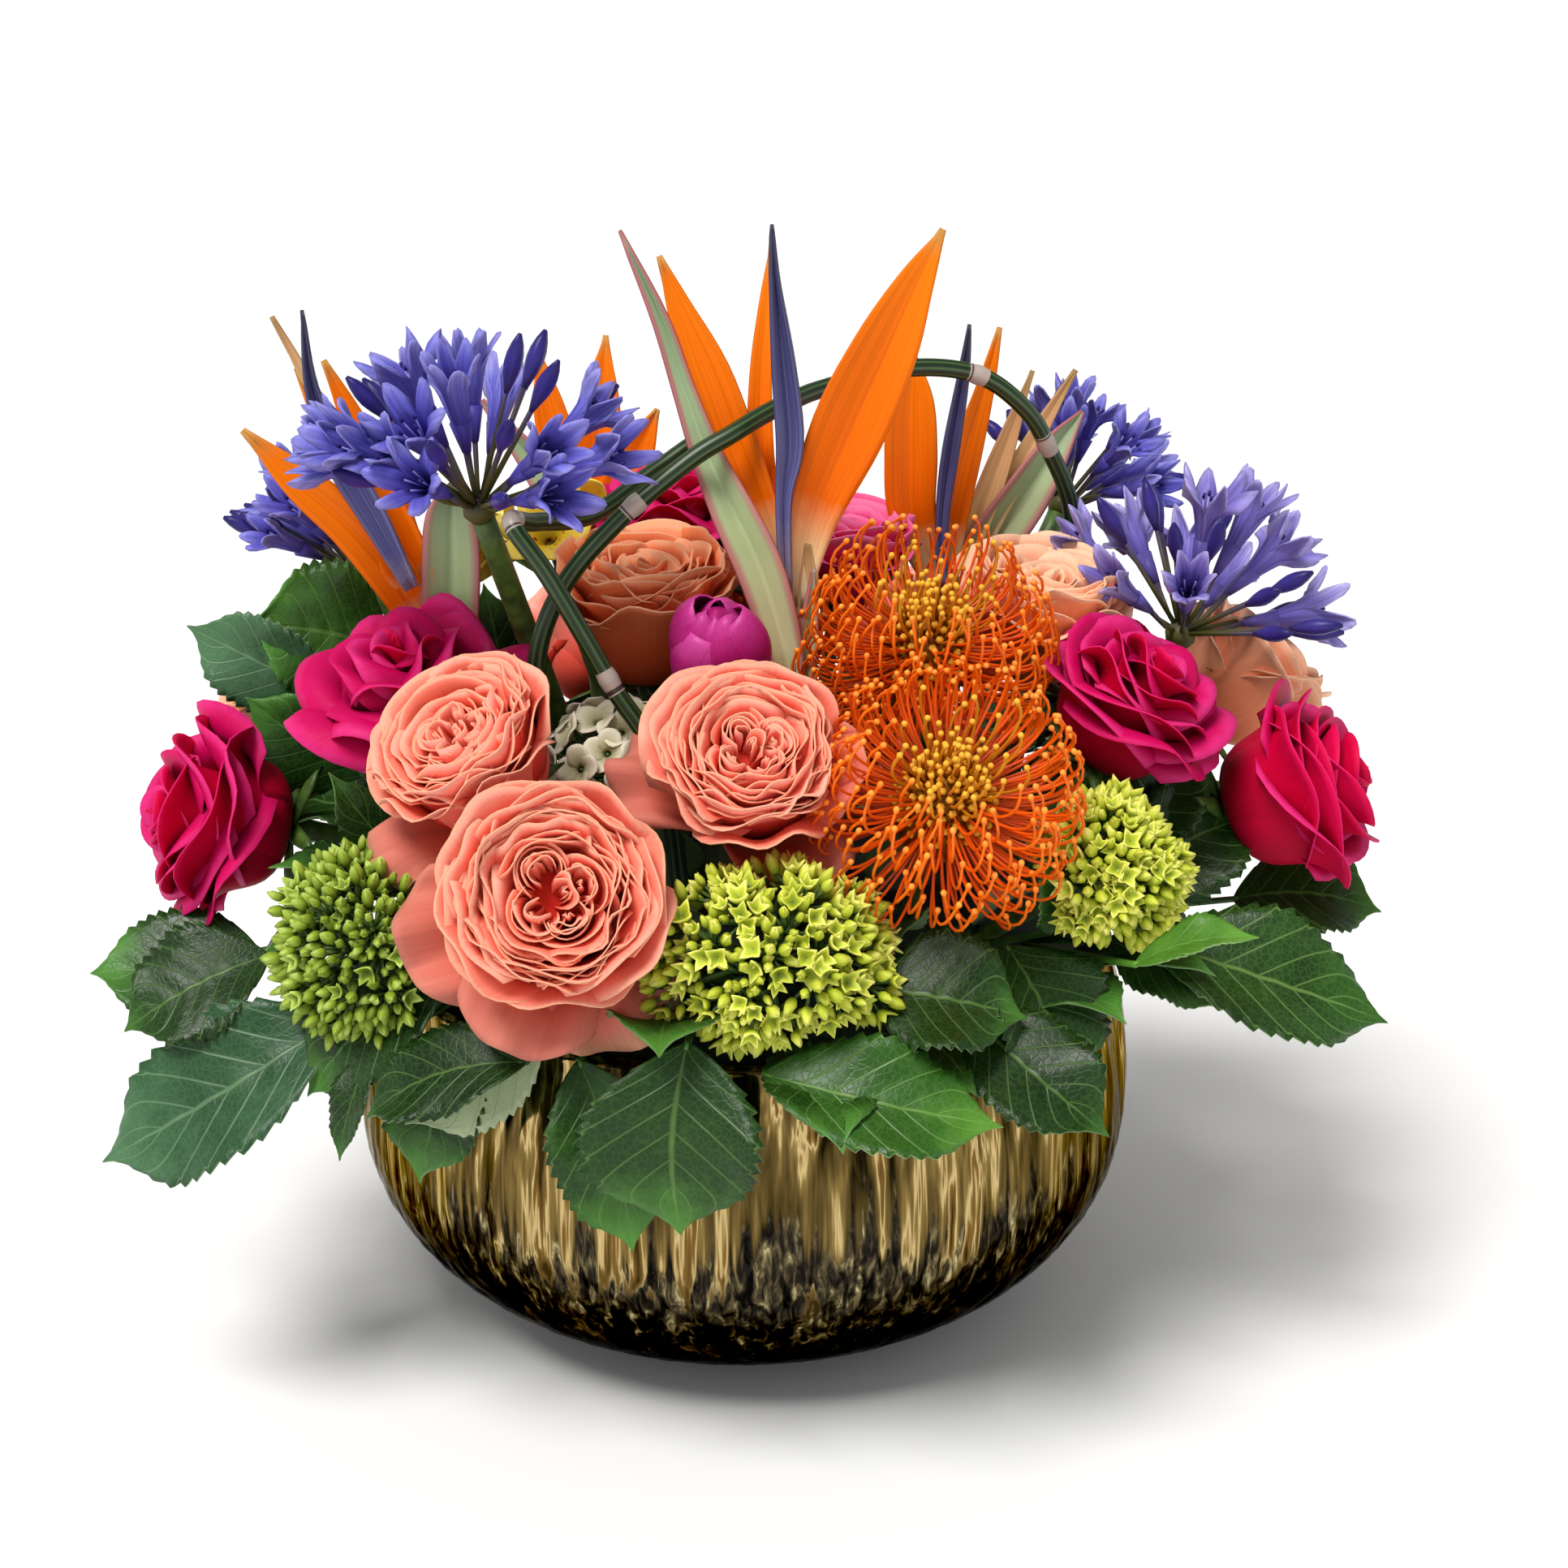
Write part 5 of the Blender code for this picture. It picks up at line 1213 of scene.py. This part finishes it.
# Stem's foot and top, then each blade: finish, the places it passes (mm) and its half width at each.
ORANGE, TONGUE, BRACT, STRAW, STALK = range(5)
BIRDS = {
    "bird_of_paradise_centre": (((34, -26, 128), (15, -27, 215)), [
        (BRACT, [(15, -34, 206), (14, -36, 224), (7, -35, 249), (-1.5, -31, 267), (-9.6, -26, 284),
                 (-17, -20, 304), (-24, -15, 324), (-36, -8, 349)], [3.4, 5.4, 6.8, 6.4, 4.6, 3.2, 2.4, 0.4]),
        (BRACT, [(18, -36, 206), (21, -36, 230), (22.5, -35, 251)], [3.4, 3.0, 0.4]),
        (STRAW, [(15, -27, 208), (17, -28, 230), (17, -28, 247), (18, -29, 258)], [4, 6, 7, 4]),
        (ORANGE, [(15, -27, 238), (7.1, -26, 264), (-1.5, -22, 285), (-10, -18, 307.5), (-18.6, -15, 328),
                  (-24, -14, 342)], [3.5, 5.4, 7.2, 7, 3.4, 0.4]),
        (ORANGE, [(14, -25, 240), (9, -22, 264), (6.5, -16, 283), (6.5, -8, 306), (8, -2, 325),
                  (9.5, 5, 344)], [3, 4.0, 4.0, 3.2, 2.2, 0.4]),
        (ORANGE, [(17, -28, 238), (22, -30, 265), (33, -33, 293), (43.6, -36, 317), (52, -37, 336),
                  (59.5, -38, 351.5)], [3.5, 7.5, 11, 9.5, 5.4, 0.5]),
        (TONGUE, [(14, -31, 243), (13.5, -34, 271), (15.4, -36, 289), (13.5, -38, 312), (11, -39, 336),
                  (10, -40, 353)], [1.8, 2.2, 3.9, 3.4, 1.5, 0.5])]),
    "bird_of_paradise_right": (((46, 25, 128), (67.5, 40, 222)), [
        (BRACT, [(68, 44, 212), (76, 45, 232), (94, 48, 258), (104, 50, 274), (113, 52, 286)],
         [5, 8, 7.5, 5, 0.6]),
        (ORANGE, [(66, 38, 228), (56, 35, 253), (54.7, 34, 274), (54.7, 34, 293), (55.5, 34, 307)],
         [4, 7.5, 8.5, 7, 0.8]),
        (ORANGE, [(67, 39, 228), (69, 38, 252), (73.4, 39, 274), (79, 40, 295), (83.6, 40, 315)],
         [3.5, 5, 5, 3, 0.5]),
        (TONGUE, [(66, 33, 230), (65.4, 32, 253), (67.5, 31, 275), (71, 30, 299), (73, 30, 317)],
         [1.5, 2, 2.6, 1.8, 0.5]),
        (STRAW, [(69.7, 42, 230), (77, 43, 248), (85, 45, 270), (95.5, 48, 300)], [3.5, 4.5, 3.8, 0.5]),
        (STRAW, [(72, 44, 230), (82.6, 46, 250), (95.7, 48, 275), (110, 50, 300)], [3.5, 4, 3.2, 0.5])]),
    "bird_of_paradise_left": (((-63, -9, 122), (-94, -4, 224)), [
        (BRACT, [(-92, -8, 204), (-92, -6, 222), (-91, -2, 246), (-91, 1, 262), (-90, 2, 272)],
         [6, 8.5, 9, 7, 0.8]),
        (ORANGE, [(-100, -5, 222), (-104, -6, 233), (-111, -8, 245.5), (-122, -11, 260), (-136, -14, 274),
                  (-152, -16, 290)], [4, 6.5, 7.4, 6.8, 5.6, 0.6]),
        (ORANGE, [(-99, -4, 222), (-105.7, -5, 247), (-116.6, -3, 268), (-127.3, -1, 288), (-137.5, 0, 307)],
         [4, 8, 8, 5, 0.5]),
        (ORANGE, [(-98, 0, 224), (-105.6, 3, 248), (-114, 6, 271), (-123, 8, 291), (-131, 10, 308)],
         [3.5, 5, 5.5, 3.6, 0.5]),
        (STRAW, [(-118, -4, 268), (-132, -4, 300), (-143.5, -4, 323)], [2.2, 1.8, 0.5]),
        (TONGUE, [(-103, -12, 240), (-113, -13, 262), (-123, -14, 282), (-130, -14, 302), (-132, -14, 326)],
         [2, 4, 4.4, 2, 0.5])]),
    "bird_of_paradise_back": (((-43, 44, 124), (-53, 71, 218)), [
        (BRACT, [(-52, 70, 206), (-56, 75, 230), (-70, 84, 258), (-92, 92, 284)], [5, 7.5, 5.5, 0.6]),
        (ORANGE, [(-53, 72, 222), (-45, 76, 250), (-37, 78, 268), (-30, 78, 283)], [4, 7, 6, 0.5]),
        (ORANGE, [(-54, 74, 222), (-52, 80, 256), (-50, 84, 282), (-48, 88, 307)], [4, 7.6, 7, 0.5]),
        (ORANGE, [(-55, 76, 222), (-62, 84, 256), (-68, 89, 280), (-72, 92, 301)], [4, 6.2, 5.6, 0.5])]),
}
for number, (name, ((foot, top), blades)) in enumerate(BIRDS.items()):
    skin = Skin()
    foot, top = np.array(foot) * MM, np.array(top) * MM
    shares = np.linspace(0, 1, 12)[:, None]
    skin.tube(foot + (top - foot) * shares, np.linspace(4.0, 4.6, 12) * MM, 0.5, 14, STALK)
    for index, (finish, places, half_widths) in enumerate(blades):
        add_blade(skin, places, half_widths, finish, 1010 + 10 * number + index,
                  KEEL_FOLD if finish in (TONGUE, BRACT) else SEPAL_FOLD)
    skin.build(name + "_flower", [orange_sepal, blue_tongue, pink_edged_bract, pale_sepal, green_stem],
               "root", "bird_of_paradise", name)


# ---------------------------------------------------------------------------------------------
# Horsetails: hollow ribbed green stems banded at their joints, one bent by hand into a tall arch
# and the other folded sharply. Both ends of each are pushed into the foam.

HORSETAIL_RADIUS = 2.7 * MM
HORSETAIL_RIBS = 16
HORSETAIL_SIDES = 32
HORSETAIL_STEPS = 420
PLAIN, SHEATH, SHEATH_TIP = 0.3, 0.75, 1.0

# Horsetail skin: hard, silica-rich and half gloss, with pale ribs between dark furrows and an
# ash-grey and pink sheath at every joint, which ends in a dark line. The tone tells them apart.
ribbed_green, tree, shader = new_finish("ribbed_horsetail_green")
reach, across, tone, face = skin_values(tree)
rib = add_node(tree, "ShaderNodeMath", {"operation": "MULTIPLY"},
               {0: across, 1: HORSETAIL_RIBS / 2}).outputs[0]
rib = add_node(tree, "ShaderNodeMath", {"operation": "PINGPONG"}, {0: rib, 1: 1.0}).outputs[0]
rib_tone = add_node(tree, "ShaderNodeValToRGB", inputs={"Fac": rib}, stops=[
    (0.15, "#0c1e08"), (0.6, "#1c3814"), (0.92, "#44602e")]).outputs[0]
band = add_node(tree, "ShaderNodeMapRange", inputs={
    "Value": tone, "From Min": 0.55, "From Max": 0.65}).outputs[0]
sheath = add_node(tree, "ShaderNodeMix", {"data_type": "RGBA"},
                  {0: band, 6: rib_tone, 7: linear("#b0a298")}).outputs[2]
tip_band = add_node(tree, "ShaderNodeMapRange", inputs={
    "Value": tone, "From Min": 0.85, "From Max": 0.95}).outputs[0]
sheath = add_node(tree, "ShaderNodeMix", {"data_type": "RGBA"},
                  {0: tip_band, 6: sheath, 7: linear("#3c2c28")}).outputs[2]
tree.links.new(sheath, shader.inputs["Base Color"])
shader.inputs["Roughness"].default_value = 0.38

# The places that each stem passes (mm), then where its joints are, as shares of its length.
HORSETAILS = {
    "horsetail_arch": ([
        (-56, -33, 128), (-59, -45, 180), (-61, -50, 222), (-53, -48, 247), (-36, -44, 267),
        (-15, -38, 284), (-2, -33.5, 291.5), (7, -26.5, 296), (16, -19.5, 299.5), (26, -10, 302),
        (50, 5, 306), (72, 12, 304), (87, 16, 295), (98, 24, 280), (109, 38, 249), (100, 45, 200),
        (78, 46, 130),
    ], (0.10, 0.325, 0.594, 0.669, 0.86)),
    "horsetail_fold": ([
        (-16, -66, 138), (-22, -72, 196), (-37, -70, 224), (-54, -67, 254), (-65, -64, 270),
        (-60, -50, 268), (-45, -28, 266), (-26, -12, 277), (-8, -2, 287), (4, 8, 283), (8, 12, 262),
        (6, 18, 205), (2, 24, 130),
    ], (0.225, 0.36, 0.58, 0.84)),
}
for name, (places, joints) in HORSETAILS.items():
    route = spline(places, HORSETAIL_STEPS) * MM
    travel = np.concatenate([[0], np.cumsum(np.linalg.norm(np.diff(route, axis=0), axis=1))])
    even = np.linspace(0, travel[-1], HORSETAIL_STEPS)
    route = np.stack([np.interp(even, travel, route[:, k]) for k in range(3)], axis=1)
    radii = np.full(HORSETAIL_STEPS, HORSETAIL_RADIUS)
    tones = np.full(HORSETAIL_STEPS, PLAIN)
    for joint in joints:
        from_joint = (even - joint * travel[-1]) / MM
        radii += 0.35 * MM * np.exp(-((from_joint / 2.2) ** 2))
        tones[np.abs(from_joint) < 3.2] = SHEATH
        tones[np.abs(from_joint + 3.6) < 0.7] = SHEATH_TIP
    skin = Skin()
    skin.tube(route, radii, PLAIN, HORSETAIL_SIDES, ribs=HORSETAIL_RIBS, rib_depth=0.045)
    rows = np.concatenate([[tones[0]], tones, [tones[-1]]])
    skin.values[-1][:, VALUES.index("tone")] = np.repeat(rows, HORSETAIL_SIDES)
    skin.build(name + "_stem", [ribbed_green], "root", "horsetail", name)


# ---------------------------------------------------------------------------------------------
# The setting: a matt white floor that runs to the horizon, one broad soft light from high up on the
# left in front, and a white surround that is brightest low down.

FLOOR_REACH = 30.0

floor_paint, tree, shader = new_finish("matt_white_floor")
shader.inputs["Base Color"].default_value = linear("#f4f4f4")
shader.inputs["Roughness"].default_value = 0.8
floor_mesh = bpy.data.meshes.new("studio_floor")
corners = [(x * FLOOR_REACH, y * FLOOR_REACH, 0) for x, y in ((-1, -1), (1, -1), (1, 1), (-1, 1))]
floor_mesh.from_pydata(corners, [], [(0, 1, 2, 3)])
floor_mesh.materials.append(floor_paint)
floor = bpy.data.objects.new("studio_floor", floor_mesh)
floor.location.z = -0.2 * MM
bpy.context.scene.collection.objects.link(floor)

surround = bpy.data.worlds.new("pale_surround")
surround.use_nodes = True
tree = surround.node_tree
way = add_node(tree, "ShaderNodeTexCoord").outputs["Generated"]
rise = add_node(tree, "ShaderNodeSeparateXYZ", inputs={"Vector": way}).outputs["Z"]
glow = add_node(tree, "ShaderNodeMapRange", {"interpolation_type": "SMOOTHSTEP"},
                {"Value": rise, "From Min": 0.08, "From Max": 0.5, "To Min": 1.0, "To Max": 0.38}).outputs[0]
tree.nodes["Background"].inputs["Color"].default_value = linear("#ffffff")
tree.links.new(glow, tree.nodes["Background"].inputs["Strength"])
bpy.context.scene.world = surround

key = bpy.data.lights.new("high_key_light", "SUN")
key.energy = 3.1
key.angle = math.radians(26)
key.color = linear("#fffdfa")[:3]
key_light = bpy.data.objects.new("high_key_light", key)
key_light.rotation_euler = Vector((-0.42, -0.60, 1.25)).to_track_quat("Z", "Y").to_euler()
bpy.context.scene.collection.objects.link(key_light)

CAMERA_PLACE = Vector((13.5, -747.8, 400.6)) * MM
CAMERA_TARGET = Vector((13.5, 0.0, 172.0)) * MM
lens = bpy.data.cameras.new("viewer")
lens.lens = 55.0
lens.sensor_width = 36.0
lens.clip_start = 0.01
viewer = bpy.data.objects.new("viewer", lens)
viewer.location = CAMERA_PLACE
viewer.rotation_euler = (CAMERA_TARGET - CAMERA_PLACE).to_track_quat("-Z", "Y").to_euler()
bpy.context.scene.collection.objects.link(viewer)
bpy.context.scene.camera = viewer
bpy.context.scene.view_settings.view_transform = "Standard"
